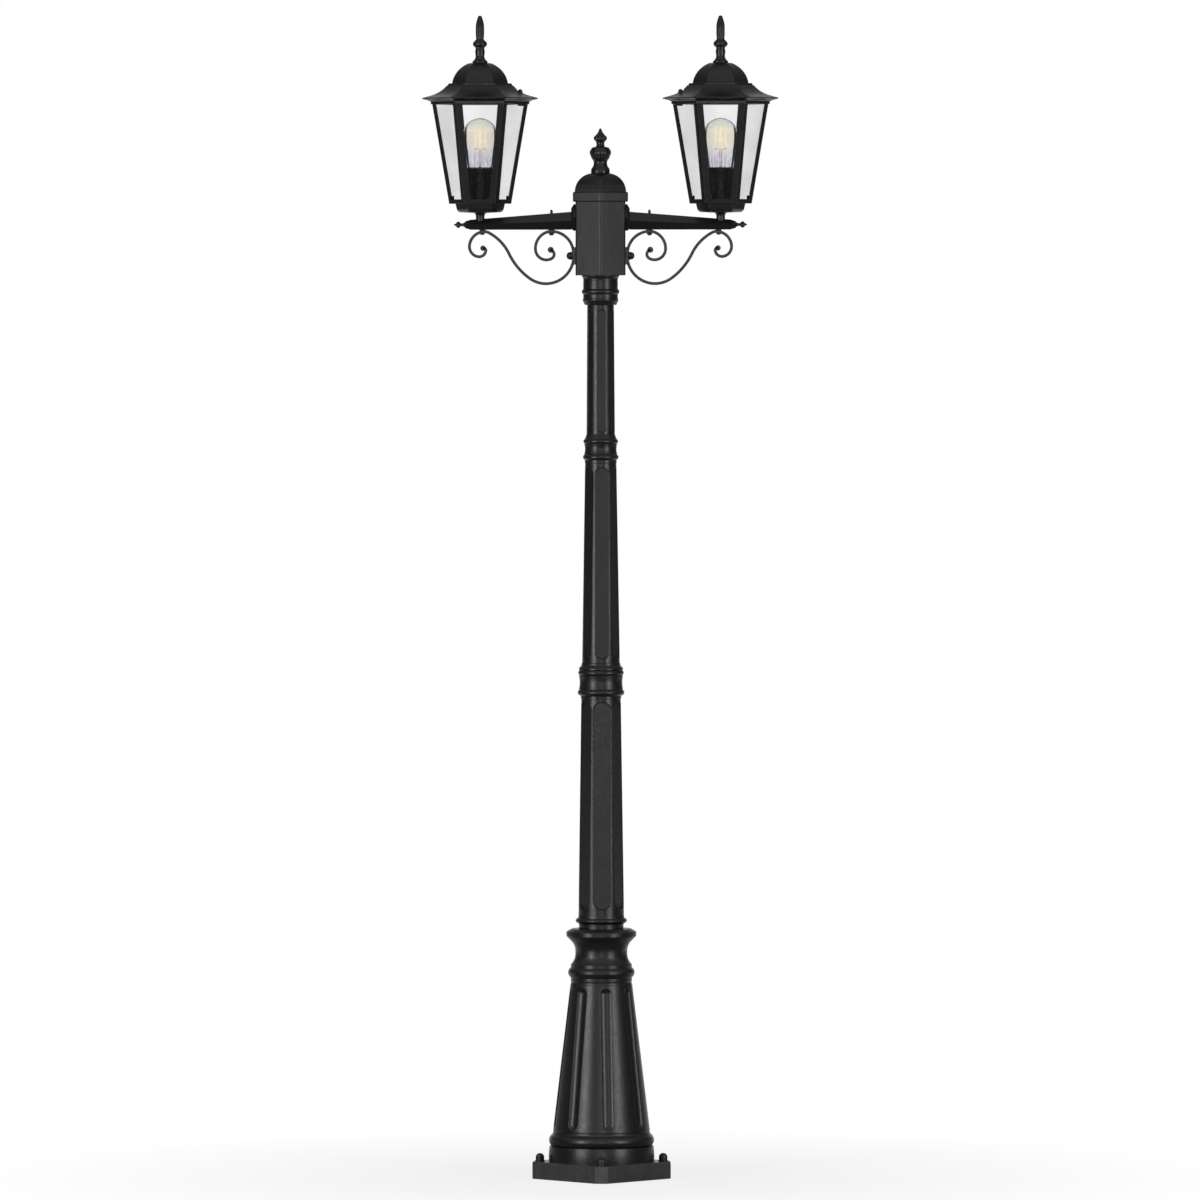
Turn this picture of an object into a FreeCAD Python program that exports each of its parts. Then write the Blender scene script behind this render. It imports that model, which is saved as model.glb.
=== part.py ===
import FreeCAD, Part
import math
import os
import Sketcher

# Two-armed garden lamp post in cast metal: a stacked, fluted post with a hexagonal head,
# two arms with scroll brackets, and two hexagonal glass lanterns.
# The origin is on the ground at the middle of the base. +Z is up, the arms lie along X,
# and the front of the post faces -Y.

V = FreeCAD.Vector

# Driving dimensions in millimetres. Names ending in count, deg or share are plain numbers.
SIZES = {
    # Gaps between pieces that seat in one another, and what cuts run past a face
    "fit_gap": 0.3,
    "thread_gap": 0.05,
    "overrun": 2,
    # Base casting: square foot, drum, bead, fluted cone, ring, neck and flange
    "base_foot_side": 197,
    "base_foot_reach": 128,
    "base_foot_height": 32,
    "base_foot_chamfer": 3,
    "base_drum_radius": 97.5,
    "base_drum_height": 29,
    "base_bead_radius": 97.7,
    "base_bead_height": 21,
    "base_cone_foot_radius": 89.5,
    "base_cone_top_radius": 57.2,
    "base_cone_height": 285,
    "base_ring_radius": 61.8,
    "base_ring_height": 24,
    "base_neck_radius": 48.1,
    "base_neck_height": 50,
    "base_flange_radius": 64.8,
    "base_flange_height": 22,
    "base_wall": 5.7,
    "base_flute_width": 20.5,
    "base_flute_depth": 4,
    "base_flute_length": 261,
    "base_flute_count": 8,
    "base_flute_turn_deg": 8,
    # Anchors of the base
    "anchor_circle_radius": 114,
    "anchor_hole_radius": 4.5,
    "anchor_count": 4,
    "anchor_nut_across": 13,
    "anchor_nut_height": 15,
    "anchor_nut_bore_radius": 4,
    # Lower shaft
    "lower_shaft_height": 426,
    "lower_shaft_foot_radius": 42.1,
    "lower_shaft_top_radius": 36.6,
    "lower_shaft_bead_radius": 47.5,
    "lower_shaft_bead_height": 25,
    "lower_shaft_foot_spigot_radius": 35,
    "lower_shaft_foot_spigot_length": 40,
    "lower_shaft_top_spigot_radius": 32,
    "lower_shaft_top_spigot_length": 31,
    "lower_shaft_bore_radius": 28,
    "lower_shaft_flute_width": 34.4,
    "lower_shaft_flute_depth": 4.7,
    "lower_shaft_flute_foot": 37,
    "lower_shaft_flute_top": 6,
    "lower_shaft_flute_turn_deg": 3,
    # Lower coupling
    "lower_coupling_height": 66,
    "lower_coupling_radius": 43.1,
    "lower_coupling_web": 5,
    "lower_coupling_web_hole_radius": 20,
    # Middle shaft
    "middle_shaft_height": 369,
    "middle_shaft_foot_radius": 34.8,
    "middle_shaft_top_radius": 29,
    "middle_shaft_foot_spigot_radius": 30,
    "middle_shaft_foot_spigot_length": 28,
    "middle_shaft_top_spigot_radius": 25,
    "middle_shaft_top_spigot_length": 22,
    "middle_shaft_bore_radius": 21.5,
    "middle_shaft_flute_width": 26.7,
    "middle_shaft_flute_depth": 3.7,
    "middle_shaft_flute_foot": 8,
    "middle_shaft_flute_top": 8,
    "middle_shaft_flute_turn_deg": 5,
    # Upper coupling
    "upper_coupling_height": 53,
    "upper_coupling_radius": 33,
    "upper_coupling_web": 7,
    "upper_coupling_web_hole_radius": 14,
    # Upper shaft
    "upper_shaft_height": 239,
    "upper_shaft_foot_radius": 26.2,
    "upper_shaft_top_radius": 24.7,
    "upper_shaft_foot_spigot_radius": 23,
    "upper_shaft_foot_spigot_length": 22,
    "upper_shaft_top_spigot_radius": 21,
    "upper_shaft_top_spigot_length": 24,
    "upper_shaft_bore_radius": 18.5,
    "upper_shaft_flute_width": 16,
    "upper_shaft_flute_depth": 2.4,
    "upper_shaft_flute_foot": 4,
    "upper_shaft_flute_top": 9,
    "upper_shaft_flute_turn_deg": 5,
    "shaft_flute_count": 6,
    # Top collar under the head
    "collar_height": 54.6,
    "collar_radius": 34.8,
    "collar_socket_depth": 26,
    "collar_cable_radius": 14,
    "collar_spigot_radius": 20,
    "collar_spigot_length": 12,
    # Grub screws that lock the sockets, at the back
    "grub_radius": 3,
    "grub_length": 7,
    # Hexagonal head block
    "head_height": 135.9,
    "head_apothem": 46.1,
    "head_wall": 4,
    "head_floor": 5,
    "head_corner_round": 4.5,
    "head_cable_hole_radius": 7,
    "floor_screw_radius": 2.5,
    "floor_screw_circle_radius": 27,
    "floor_screw_depth": 12,
    "floor_screw_count": 3,
    "screw_head_radius": 4.4,
    "screw_head_height": 3,
    # Terminal block in the head
    "terminal_length": 38,
    "terminal_depth": 11,
    "terminal_height": 18,
    "terminal_way_radius": 2.2,
    "terminal_way_pitch": 11,
    "terminal_offset": 22,
    # Head cap and its finial
    "cap_band_apothem": 50.9,
    "cap_band_height": 18,
    "cap_dome_apothem": 47.4,
    "cap_dome_height": 34.4,
    "cap_top_apothem": 17.4,
    "cap_wall": 4,
    "cap_lip_depth": 6,
    "finial_spigot_radius": 4,
    "finial_spigot_length": 12,
    "head_finial_radius": 19,
    "head_finial_height": 83,
    # Arms, measured out from the head and up from their own underside
    "arm_drop": 51.5,
    "arm_reach": 222,
    "arm_flange_height": 49,
    "arm_flange_shoulder_height": 38,
    "arm_flange_thickness": 8,
    "arm_flange_centre": 22.5,
    "arm_root_height": 33,
    "arm_end_height": 18.5,
    "arm_overhang": 18,
    "arm_tip_height": 12.6,
    "arm_tip_length": 9.6,
    "arm_bore_radius": 5.5,
    "arm_seat_radius": 8,
    "arm_seat_height": 25,
    "arm_screw_spacing": 34,
    "arm_screw_depth": 7,
    "arm_finial_radius": 6.3,
    "arm_finial_length": 21.1,
    "arm_finial_spigot_radius": 2.9,
    "arm_finial_spigot_length": 9,
    # Scroll bracket: a flat bar bent edgewise, with its foot, boss and pad
    "scroll_bar_thickness": 5.5,
    "scroll_bar_width": 11,
    "scroll_outer_knob_radius": 5,
    "scroll_inner_knob_radius": 5.6,
    "scroll_foot_thickness": 5,
    "scroll_foot_height": 32.4,
    "scroll_foot_width": 18,
    "scroll_foot_boss_radius": 7.5,
    "scroll_foot_boss_height": 10.5,
    "scroll_boss_radius": 5.6,
    "scroll_end_radius": 5.4,
    "scroll_end_place": 4.5,
    "scroll_end_screw_grip": 3,
    "scroll_bolt_place": 0.6,
    "scroll_bolt_radius": 2.6,
    "scroll_bolt_rise": 37,
    "scroll_bolt_head_radius": 5.2,
    "scroll_bolt_head_height": 4,
    "scroll_screw_head_radius": 6.6,
    "scroll_screw_head_height": 6,
    # Tray under each lantern
    "tray_radius": 45.9,
    "tray_height": 23,
    "tray_foot_height": 6.5,
    "tray_wall": 2.5,
    # Lantern cage
    "cage_foot_radius": 57.4,
    "cage_top_radius": 88.4,
    "cage_frame_height": 183.7,
    "cage_wall": 2.5,
    "cage_floor": 3,
    "cage_rail": 8,
    "cage_corner_flange": 11,
    "cage_ring_radius": 91,
    "cage_ring_bore_radius": 79,
    "cage_ring_height": 4.8,
    "glass_thickness": 3,
    "clip_depth": 4,
    "clip_height": 12,
    # Stem that clamps holder, cage and tray to the arm
    "stem_radius": 4,
    "stem_bore_radius": 2.8,
    "stem_nut_across": 11,
    "holder_nut_height": 5,
    # Lamp holder: sleeve, disc and threaded socket
    "holder_radius": 26.35,
    "holder_height": 63,
    "holder_wall": 1.5,
    "holder_disc": 3,
    "socket_radius": 16.5,
    "socket_height": 45,
    "socket_floor": 24,
    # Bulb
    "bulb_radius": 32,
    "bulb_height": 104,
    "bulb_wall": 1,
    "bulb_cap_radius": 13.2,
    "bulb_cap_height": 24,
    "bulb_post_radius": 4,
    "bulb_post_height": 46,
    "filament_radius": 0.9,
    "filament_height": 44,
    "filament_circle_radius": 9.5,
    "filament_count": 4,
    # Lantern roof, its finial, and the nut that holds it down
    "roof_radius": 107.4,
    "roof_height": 71.5,
    "roof_wall": 3,
    "roof_lip_depth": 4,
    "roof_finial_radius": 14.1,
    "roof_finial_height": 87,
    "roof_stud_place": 74,
    "roof_stud_radius": 2.5,
    "roof_stud_grip": 7,
    "roof_lug_radius": 5.6,
    "roof_lug_height": 8,
    "roof_nut_seat": 11.5,
    "roof_nut_across": 9,
    "roof_nut_height": 9,
    "roof_nut_room": 6.6,
}

# Outlines of the mouldings, from the foot up: radius share, height share and, where the edge
# to the next corner is an arc, its rise as a share of its chord (plus swells, minus hollows).
DRUM_SHARES = [(1, 0.0, 0.03), (0.985, 1.0)]
BEAD_SHARES = [(0.935, 0.0), (0.957, 0.06, 0.2), (0.957, 0.94), (0.935, 1.0)]
CONE_FOOT_SHARES = [(1.03, 0.0, -0.15), (1.0, 0.028)]
CONE_TOP_SHARES = [(1.0, 0.975, -0.1), (0.99, 1.0)]
RING_SHARES = [(0.916, 0.0), (0.916, 0.25), (0.93, 0.27, 0.24), (0.93, 0.98), (0.915, 1.0)]
NECK_SHARES = [(1.175, 0.12, -0.11), (1.0, 0.56, -0.11), (1.17, 1.0)]
FLANGE_SHARES = [(0.87, 0.0), (0.985, 0.34), (1.0, 0.4), (1.0, 0.72), (0.985, 0.78), (0.85, 1.0)]
SHAFT_FOOT_SHARES = [(0.87, 0.0), (0.87, 0.36), (0.905, 0.42, 0.5), (0.905, 0.78), (0.886, 1.0)]
LOWER_COUPLING_SHARES = [
    (0.87, 0.0), (0.87, 0.07), (0.93, 0.09, 0.3), (0.93, 0.245), (0.948, 0.26, -0.06),
    (0.945, 0.63), (0.92, 0.65, 0.27), (0.92, 0.79), (0.948, 0.81), (0.948, 0.85),
    (0.84, 0.93), (0.824, 1.0),
]
UPPER_COUPLING_SHARES = [
    (0.894, 0.0), (0.894, 0.1), (0.91, 0.12, 0.3), (0.91, 0.3), (0.925, 0.32, -0.075),
    (0.92, 0.66), (0.9, 0.68, 0.29), (0.9, 0.84), (0.885, 0.86), (0.832, 0.936), (0.803, 1.0),
]
COLLAR_SHARES = [
    (0.839, 0.0), (0.948, 0.16), (0.948, 0.2), (0.922, 0.22), (0.922, 0.36, 0.27),
    (0.922, 0.54), (0.922, 0.8, -0.12), (0.994, 0.97), (0.994, 1.0),
]
HEAD_FINIAL_SHARES = [
    (0.895, 0.0, 0.08), (0.86, 0.115, -0.1), (0.65, 0.225, -0.1), (0.8, 0.315, 0.05),
    (0.93, 0.385), (0.99, 0.41, 0.12), (0.97, 0.52), (0.83, 0.571), (0.42, 0.6),
    (0.38, 0.65, -0.08), (0.47, 0.715, 0.3), (0.48, 0.845), (0.33, 0.88, -0.05), (0.13, 0.975),
    (0.04, 1.0), (0.0, 1.0),
]
ROOF_FINIAL_SHARES = [
    (1.0, 0.0), (1.0, 0.03, -0.12), (0.57, 0.14), (0.64, 0.23), (0.64, 0.26), (0.56, 0.285),
    (0.62, 0.33, 0.32), (0.72, 0.46), (0.5, 0.5, 0.02), (0.55, 0.7, 0.03), (0.49, 0.85),
    (0.37, 0.92), (0.28, 0.965, 0.16), (0.06, 1.0), (0.0, 1.0),
]
ARM_FINIAL_SHARES = [
    (1.0, 0.0, -0.15), (0.43, 0.33), (0.43, 0.42, 0.4), (0.45, 0.8), (0.3, 0.86, 0.1),
    (0.08, 1.0), (0.0, 1.0),
]
TRAY_SHARES = [(0.3, 0.26), (0.828, 0.32, 0.1), (0.948, 0.557), (1.0, 1.0)]
TRAY_FOOT_SHARES = [(0.174, 0.0, -0.2), (0.32, 0.29)]
ROOF_SHARES = [
    (0.866, 0.0, -0.1), (0.912, 0.035), (0.99, 0.066), (1.0, 0.075), (1.0, 0.09), (0.99, 0.1),
    (0.857, 0.154, -0.08), (0.577, 0.413), (0.553, 0.425), (0.553, 0.466), (0.484, 0.476, 0.127),
    (0.205, 0.986), (0.13, 1.0),
]
ROOF_INSIDE_SHARES = [(0.736, 0.203), (0.559, 0.44), (0.484, 0.497, 0.127), (0.214, 0.958)]
BULB_SHARES = [
    (0.4125, 0.0), (0.44, 0.06, -0.12), (0.735, 0.117, 0.02), (0.94, 0.44, 0.08),
    (1.0, 0.7, 0.19), (0.06, 1.0),
]
# Centre line of the scroll: radius of each bend as a share of the span from the head to the
# lantern's axis, and its turn in degrees. It starts in the hook of the outer curl.
SCROLL_START_SHARES = (0.9717, -0.1856)
SCROLL_START_DEG = -195.2
SCROLL_BEND_SHARES = [
    (0.024, 110.7), (0.0712, 92.3), (0.1062, 85.9), (0.1611, 86.3), (0.0831, 27.3), (0.4896, 37),
    (0.6878, -28.5), (0.2915, -125.8), (0.3258, -14.7), (0.234, -75.3), (0.1339, -19.8),
    (0.1813, -75.4), (0.1148, -113.9), (0.0496, -135.1),
]
SCROLL_END_BEND = 4
SCROLL_FOOT_BEND = 8
SCROLL_CROWN_BEND = 10

# A hexagon's apothem as a share of its corner radius
APOTHEM_SHARE = math.cos(math.radians(30))


class Length:
    """A size that knows the sheet formula it comes from."""

    def __init__(self, value, formula):
        self.value = float(value)
        self.formula = formula

    def __add__(self, other):
        return combined(self, "+", other)

    def __radd__(self, other):
        return combined(other, "+", self)

    def __sub__(self, other):
        return combined(self, "-", other)

    def __rsub__(self, other):
        return combined(other, "-", self)

    def __mul__(self, other):
        return combined(self, "*", other)

    def __rmul__(self, other):
        return combined(other, "*", self)

    def __truediv__(self, other):
        return combined(self, "/", other)

    def __neg__(self):
        return combined(0, "-", self)


def sized(item):
    """Gives a number or a size as a size."""
    if isinstance(item, Length):
        return item
    return Length(item, f"{item:.10g}" if item >= 0 else f"(0 - {-item:.10g})")


def combined(first, sign, second):
    """Joins two sizes by a sign, in value and in formula."""
    first, second = sized(first), sized(second)
    value = {
        "+": lambda: first.value + second.value,
        "-": lambda: first.value - second.value,
        "*": lambda: first.value * second.value,
        "/": lambda: first.value / second.value,
    }[sign]()
    return Length(value, f"({first.formula} {sign} {second.formula})")


def slope(run, rise):
    """Sine and cosine of a slope as sizes, and its angle in degrees."""
    angle = math.atan(run.value / rise.value)
    formula = f"atan({run.formula} / {rise.formula})"
    sine = Length(math.sin(angle), f"sin({formula})")
    cosine = Length(math.cos(angle), f"cos({formula})")
    return sine, cosine, math.degrees(angle)


class Sizes:
    """Every size by its name, written once in the sheet."""

    def __init__(self, sheet, values):
        for row, (name, value) in enumerate(values.items(), 1):
            sheet.set(f"A{row}", name)
            sheet.set(f"B{row}", str(value))
            sheet.setAlias(f"B{row}", name)
            setattr(self, name, Length(value, f"Sizes.{name}"))


doc = FreeCAD.newDocument("LampPost")
sheet = doc.addObject("Spreadsheet::Sheet", "Sizes")
size = Sizes(sheet, SIZES)
doc.recompute()

nodes = {}


def keep(item, name):
    """Names a finished piece and puts it on the list of nodes."""
    item.Label = name
    nodes[name] = item
    return item


def tie(item, path, length):
    """Ties one property of an item to a size."""
    if isinstance(length, Length):
        item.setExpression(path, length.formula)


def place(item, x=0, y=0, z=0, turn=0, tip=0):
    """Tips an item about Y, turns it about Z and moves it to its place."""
    rotation = FreeCAD.Rotation(V(0, 0, 1), turn).multiply(FreeCAD.Rotation(V(0, 1, 0), tip))
    spot = V(sized(x).value, sized(y).value, sized(z).value)
    item.Placement = FreeCAD.Placement(spot, rotation)
    tie(item, "Placement.Base.x", x)
    tie(item, "Placement.Base.y", y)
    tie(item, "Placement.Base.z", z)
    return item


def origin_part(body, role):
    """Finds an origin plane or axis of a body by its role."""
    return next(item for item in body.Origin.OriginFeatures if item.Role == role)


def sketch_on(body, role, x=0, y=0, z=0, rotation=None):
    """Sketch on an origin plane of a body, moved within that plane's own axes."""
    sketch = body.newObject("Sketcher::SketchObject", "Outline")
    sketch.AttachmentSupport = [(origin_part(body, role), "")]
    sketch.MapMode = "FlatFace"
    spot = V(sized(x).value, sized(y).value, sized(z).value)
    sketch.AttachmentOffset = FreeCAD.Placement(spot, rotation or FreeCAD.Rotation())
    tie(sketch, "AttachmentOffset.Base.x", x)
    tie(sketch, "AttachmentOffset.Base.y", y)
    tie(sketch, "AttachmentOffset.Base.z", z)
    return sketch


def fix_point(sketch, edge, end, x, y):
    """Holds one point of a sketch at its place and ties it to the sheet."""
    for kind, length in (("DistanceX", x), ("DistanceY", y)):
        if length is None:
            continue
        number = sketch.addConstraint(
            Sketcher.Constraint(kind, -1, 1, edge, end, sized(length).value))
        if isinstance(length, Length):
            sketch.setExpression(f"Constraints[{number}]", length.formula)


def draw(sketch, corners, closed=True):
    """Draws lines and arcs through the corners, each corner tied to the sheet.

    A corner is (x, y) or (x, y, bulge). The bulge is the rise of the arc that goes on from
    that corner, as a share of its chord, positive towards the right of the way along.
    """
    count = len(corners)
    edges = []
    for index in range(count if closed else count - 1):
        x, y, *bulge = corners[index]
        next_x, next_y = corners[(index + 1) % count][:2]
        start = V(sized(x).value, sized(y).value, 0)
        end = V(sized(next_x).value, sized(next_y).value, 0)
        if not bulge:
            edge = sketch.addGeometry(Part.LineSegment(start, end))
            edges.append((edge, 1, 2))
            continue
        share = bulge[0]
        way = end - start
        middle = (start + end) * 0.5 + V(way.y, -way.x, 0) * share
        edge = sketch.addGeometry(Part.Arc(start, middle, end))
        flipped = sketch.getPoint(edge, 1).distanceToPoint(start) > way.Length / 2
        edges.append((edge, 2, 1) if flipped else (edge, 1, 2))
    for (edge, first, last), (following, head, _) in zip(edges, edges[1:]):
        sketch.addConstraint(Sketcher.Constraint("Coincident", edge, last, following, head))
    if closed:
        edge, last = edges[-1][0], edges[-1][2]
        sketch.addConstraint(Sketcher.Constraint("Coincident", edge, last, *edges[0][:2]))
    else:
        fix_point(sketch, edges[-1][0], edges[-1][2], *corners[-1][:2])
    for (edge, first, last), corner in zip(edges, corners):
        fix_point(sketch, edge, first, *corner[:2])
    for (edge, first, last), corner, following in zip(edges, corners, corners[1:] + corners[:1]):
        if len(corner) == 3:
            fix_centre(sketch, edge, corner, following)
    return [edge for edge, first, last in edges]


def fix_centre(sketch, edge, corner, following):
    """Holds the centre of an arc in the one direction that its end points leave free."""
    x, y, share = corner
    next_x, next_y = following[:2]
    back_share = (0.25 - share * share) / (2 * share)
    if abs(sized(next_x - x).value) < abs(sized(next_y - y).value):
        fix_point(sketch, edge, 3, (x + next_x) / 2 - (next_y - y) * back_share, None)
    else:
        fix_point(sketch, edge, 3, None, (y + next_y) / 2 + (next_x - x) * back_share)


def moulding(shares, radius, height, start=0):
    """Corners of a moulding of that radius and height."""
    return [(radius * corner[0], start + height * corner[1], *corner[2:]) for corner in shares]


def new_body(name):
    """Starts a body."""
    return doc.addObject("PartDesign::Body", name)


def finish(body, feature):
    """Makes a feature the last one of its body and works it out."""
    body.Tip = feature
    doc.recompute()
    return feature


def turn_on(body, corners):
    """Adds a solid of revolution about the body's own axis."""
    sketch = sketch_on(body, "XZ_Plane")
    draw(sketch, corners)
    turning = body.newObject("PartDesign::Revolution", "Turned")
    turning.Profile = sketch
    turning.ReferenceAxis = (sketch, ["V_Axis"])
    turning.Angle = 360
    return finish(body, turning)


def repeat(body, feature, count):
    """Repeats a feature round the body's own axis."""
    pattern = body.newObject("PartDesign::PolarPattern", "Repeated")
    pattern.Originals = [feature]
    pattern.Axis = (origin_part(body, "Z_Axis"), [""])
    pattern.Angle = 360
    tie(pattern, "Occurrences", count)
    pattern.Occurrences = int(sized(count).value)
    return finish(body, pattern)


def axis_feature(body, kind, axis, corners, turn=0, count=None):
    """Adds or cuts a solid of revolution about any axis in an upright plane through Z."""
    sketch = sketch_on(body, "XZ_Plane", rotation=FreeCAD.Rotation(V(0, 1, 0), turn))
    (x, y), (end_x, end_y) = axis
    start = V(sized(x).value, sized(y).value, 0)
    end = V(sized(end_x).value, sized(end_y).value, 0)
    line = sketch.addGeometry(Part.LineSegment(start, end), True)
    fix_point(sketch, line, 1, x, y)
    fix_point(sketch, line, 2, end_x, end_y)
    draw(sketch, corners)
    feature = body.newObject(f"PartDesign::{kind}", kind)
    feature.Profile = sketch
    feature.ReferenceAxis = (sketch, ["Axis0"])
    feature.Angle = 360
    finish(body, feature)
    return repeat(body, feature, count) if count else feature


def bore_up(body, x, radius, bottom, top, turn=0, count=None):
    """Drills an upright round hole at a distance from the body's axis."""
    corners = [(x, bottom), (x + radius, bottom), (x + radius, top), (x, top)]
    return axis_feature(body, "Groove", [(x, bottom), (x, top)], corners, turn, count)


def bore_out(body, height, radius, start, end, turn=0):
    """Drills a level round hole that points away from the body's axis."""
    corners = [(start, height), (end, height), (end, height + radius), (start, height + radius)]
    return axis_feature(body, "Groove", [(start, height), (end, height)], corners, turn)


def boss_up(body, x, corners):
    """Adds an upright turned boss at a distance from the body's axis."""
    points = [(x + corner[0], *corner[1:]) for corner in corners]
    axis = [points[0][:2], points[-1][:2]]
    return axis_feature(body, "Revolution", axis, points)


def pad_up(body, outlines, bottom, height):
    """Adds an upright prism; a second outline leaves a hole."""
    sketch = sketch_on(body, "XY_Plane", z=bottom)
    for corners in outlines:
        draw(sketch, corners)
    pad = body.newObject("PartDesign::Pad", "Prism")
    pad.Profile = sketch
    tie(pad, "Length", height)
    return finish(body, pad)


def pocket_up(body, outlines, bottom, height):
    """Cuts an upright prism."""
    sketch = sketch_on(body, "XY_Plane", z=bottom)
    for corners in outlines:
        draw(sketch, corners)
    pocket = body.newObject("PartDesign::Pocket", "Opening")
    pocket.Profile = sketch
    tie(pocket, "Length", height)
    pocket.Reversed = True
    return finish(body, pocket)


def loft(body, kind, sections):
    """Adds or cuts a straight-sided loft through sketches."""
    feature = body.newObject(f"PartDesign::{kind}", kind)
    feature.Profile = sections[0]
    feature.Sections = sections[1:]
    feature.Ruled = True
    return finish(body, feature)


def hexagon(apothem, centre=0):
    """Corners of a hexagon with two of them on the sketch's X axis."""
    corner = apothem / APOTHEM_SHARE
    return [
        (corner, centre), (corner / 2, centre + apothem), (-corner / 2, centre + apothem),
        (-corner, centre), (-corner / 2, centre - apothem), (corner / 2, centre - apothem),
    ]


def rounded_hexagon(apothem, rounding):
    """Corners of a hexagon with rounded corners, two of them on the sketch's Y axis."""
    corner = apothem / APOTHEM_SHARE
    set_back = rounding * math.tan(math.radians(30))
    bulge_share = math.tan(math.radians(15)) / 2
    points = []
    for degrees in range(30, 390, 60):
        angle = math.radians(degrees)
        for aside, *bulge in ((-120, bulge_share), (120,)):
            way = math.radians(degrees + aside)
            x = corner * math.cos(angle) + set_back * math.cos(way)
            y = corner * math.sin(angle) + set_back * math.sin(way)
            points.append((x, y, *bulge))
    return points


def mirrored(half):
    """Closes the right-hand half of an outline with the same on the left."""
    outline = list(half)
    for index in reversed(range(len(half))):
        x, z = half[index][:2]
        outline.append((-x, z, *(half[index - 1][2:] if index else ())))
    return outline


def hex_moulding(name, half, turn):
    """Solid whose six sides all follow one moulding: three long strips, each turned by 60
    degrees, and what they have in common. The half outline gives the apothem at each height."""
    sketch = doc.addObject("Sketcher::SketchObject", f"{name}_outline")
    sketch.Placement = FreeCAD.Placement(V(), FreeCAD.Rotation(V(1, 0, 0), 90))
    draw(sketch, mirrored(half))
    widest = max((corner[0] for corner in half), key=lambda length: length.value)
    strips = []
    for step in range(3):
        strip = doc.addObject("Part::Extrusion", f"{name}_strip")
        strip.Base = sketch
        strip.DirMode = "Normal"
        strip.Symmetric = True
        strip.Solid = True
        tie(strip, "LengthFwd", widest * 3)
        place(strip, turn=turn + step * 60)
        strips.append(strip)
    common = doc.addObject("Part::MultiCommon", f"{name}_form")
    common.Shapes = strips
    doc.recompute()
    return common


def rod(name, radius, height, x=0, y=0, z=0):
    """Upright cylinder."""
    item = doc.addObject("Part::Cylinder", name)
    tie(item, "Radius", radius)
    tie(item, "Height", height)
    return place(item, x, y, z)


def fused(name, *shapes):
    """Joins shapes into one."""
    item = doc.addObject("Part::MultiFuse", name)
    item.Shapes = list(shapes)
    doc.recompute()
    return item


def cut(name, base, *tools):
    """Takes the tools out of the base."""
    item = doc.addObject("Part::Cut", name)
    item.Base = base
    item.Tool = tools[0] if len(tools) == 1 else fused(f"{name}_tools", *tools)
    doc.recompute()
    return item


def group(name, shapes):
    """Puts alike pieces in one node, each its own solid."""
    item = doc.addObject("Part::Compound", name)
    item.Links = shapes
    doc.recompute()
    return keep(item, name)


def hex_nut(name, across, height, bore, x=0, y=0, z=0, domed_share=0.0, depth_share=1.0):
    """Hexagon nut with chamfered corners; a domed share of its height closes it like a cap."""
    corner = across / 2 / APOTHEM_SHARE
    flat_height = height * (1 - domed_share)
    crown = across * 0.44
    body = new_body(f"{name}_turning")
    outline = [(bore, 0), (corner * 0.96, 0), (corner, height * 0.06), (corner, flat_height * 0.9)]
    if domed_share:
        outline += [(across / 2, flat_height), (crown, flat_height, 0.18)]
        outline += [(crown * 0.2, height), (0, height)]
        outline += [(0, height * depth_share), (bore, height * depth_share)]
    else:
        outline += [(corner * 0.94, height), (bore, height)]
    turn_on(body, outline)
    prism = doc.addObject("Part::Prism", f"{name}_prism")
    prism.Polygon = 6
    tie(prism, "Circumradius", corner)
    tie(prism, "Height", height)
    nut = doc.addObject("Part::Common", name)
    nut.Base = body
    nut.Tool = prism
    doc.recompute()
    return place(nut, x, y, z)


def pan_screw(name, radius, length, head_radius, head_height):
    """Screw with a domed head: the head stands above z = 0 and the shank hangs below."""
    body = new_body(name)
    turn_on(body, [
        (0, -length), (radius * 0.7, -length), (radius, radius * 0.4 - length), (radius, 0),
        (head_radius, 0), (head_radius, head_height * 0.35, 0.12), (head_radius * 0.3, head_height),
        (0, head_height),
    ])
    return body


# Heights of the stacked pieces above the ground
base_bead_z = size.base_foot_height + size.base_drum_height
base_cone_z = base_bead_z + size.base_bead_height
base_ring_z = base_cone_z + size.base_cone_height
base_neck_z = base_ring_z + size.base_ring_height
base_flange_z = base_neck_z + size.base_neck_height
lower_shaft_z = base_flange_z + size.base_flange_height
lower_coupling_z = lower_shaft_z + size.lower_shaft_height
middle_shaft_z = lower_coupling_z + size.lower_coupling_height
upper_coupling_z = middle_shaft_z + size.middle_shaft_height
upper_shaft_z = upper_coupling_z + size.upper_coupling_height
collar_z = upper_shaft_z + size.upper_shaft_height
head_z = collar_z + size.collar_height
cap_z = head_z + size.head_height
head_finial_z = cap_z + size.cap_band_height + size.cap_dome_height
arm_z = cap_z - size.arm_drop
lantern_z = arm_z + size.arm_seat_height
cage_z = lantern_z + size.tray_height
roof_z = cage_z + size.cage_frame_height + size.cage_ring_height


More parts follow.
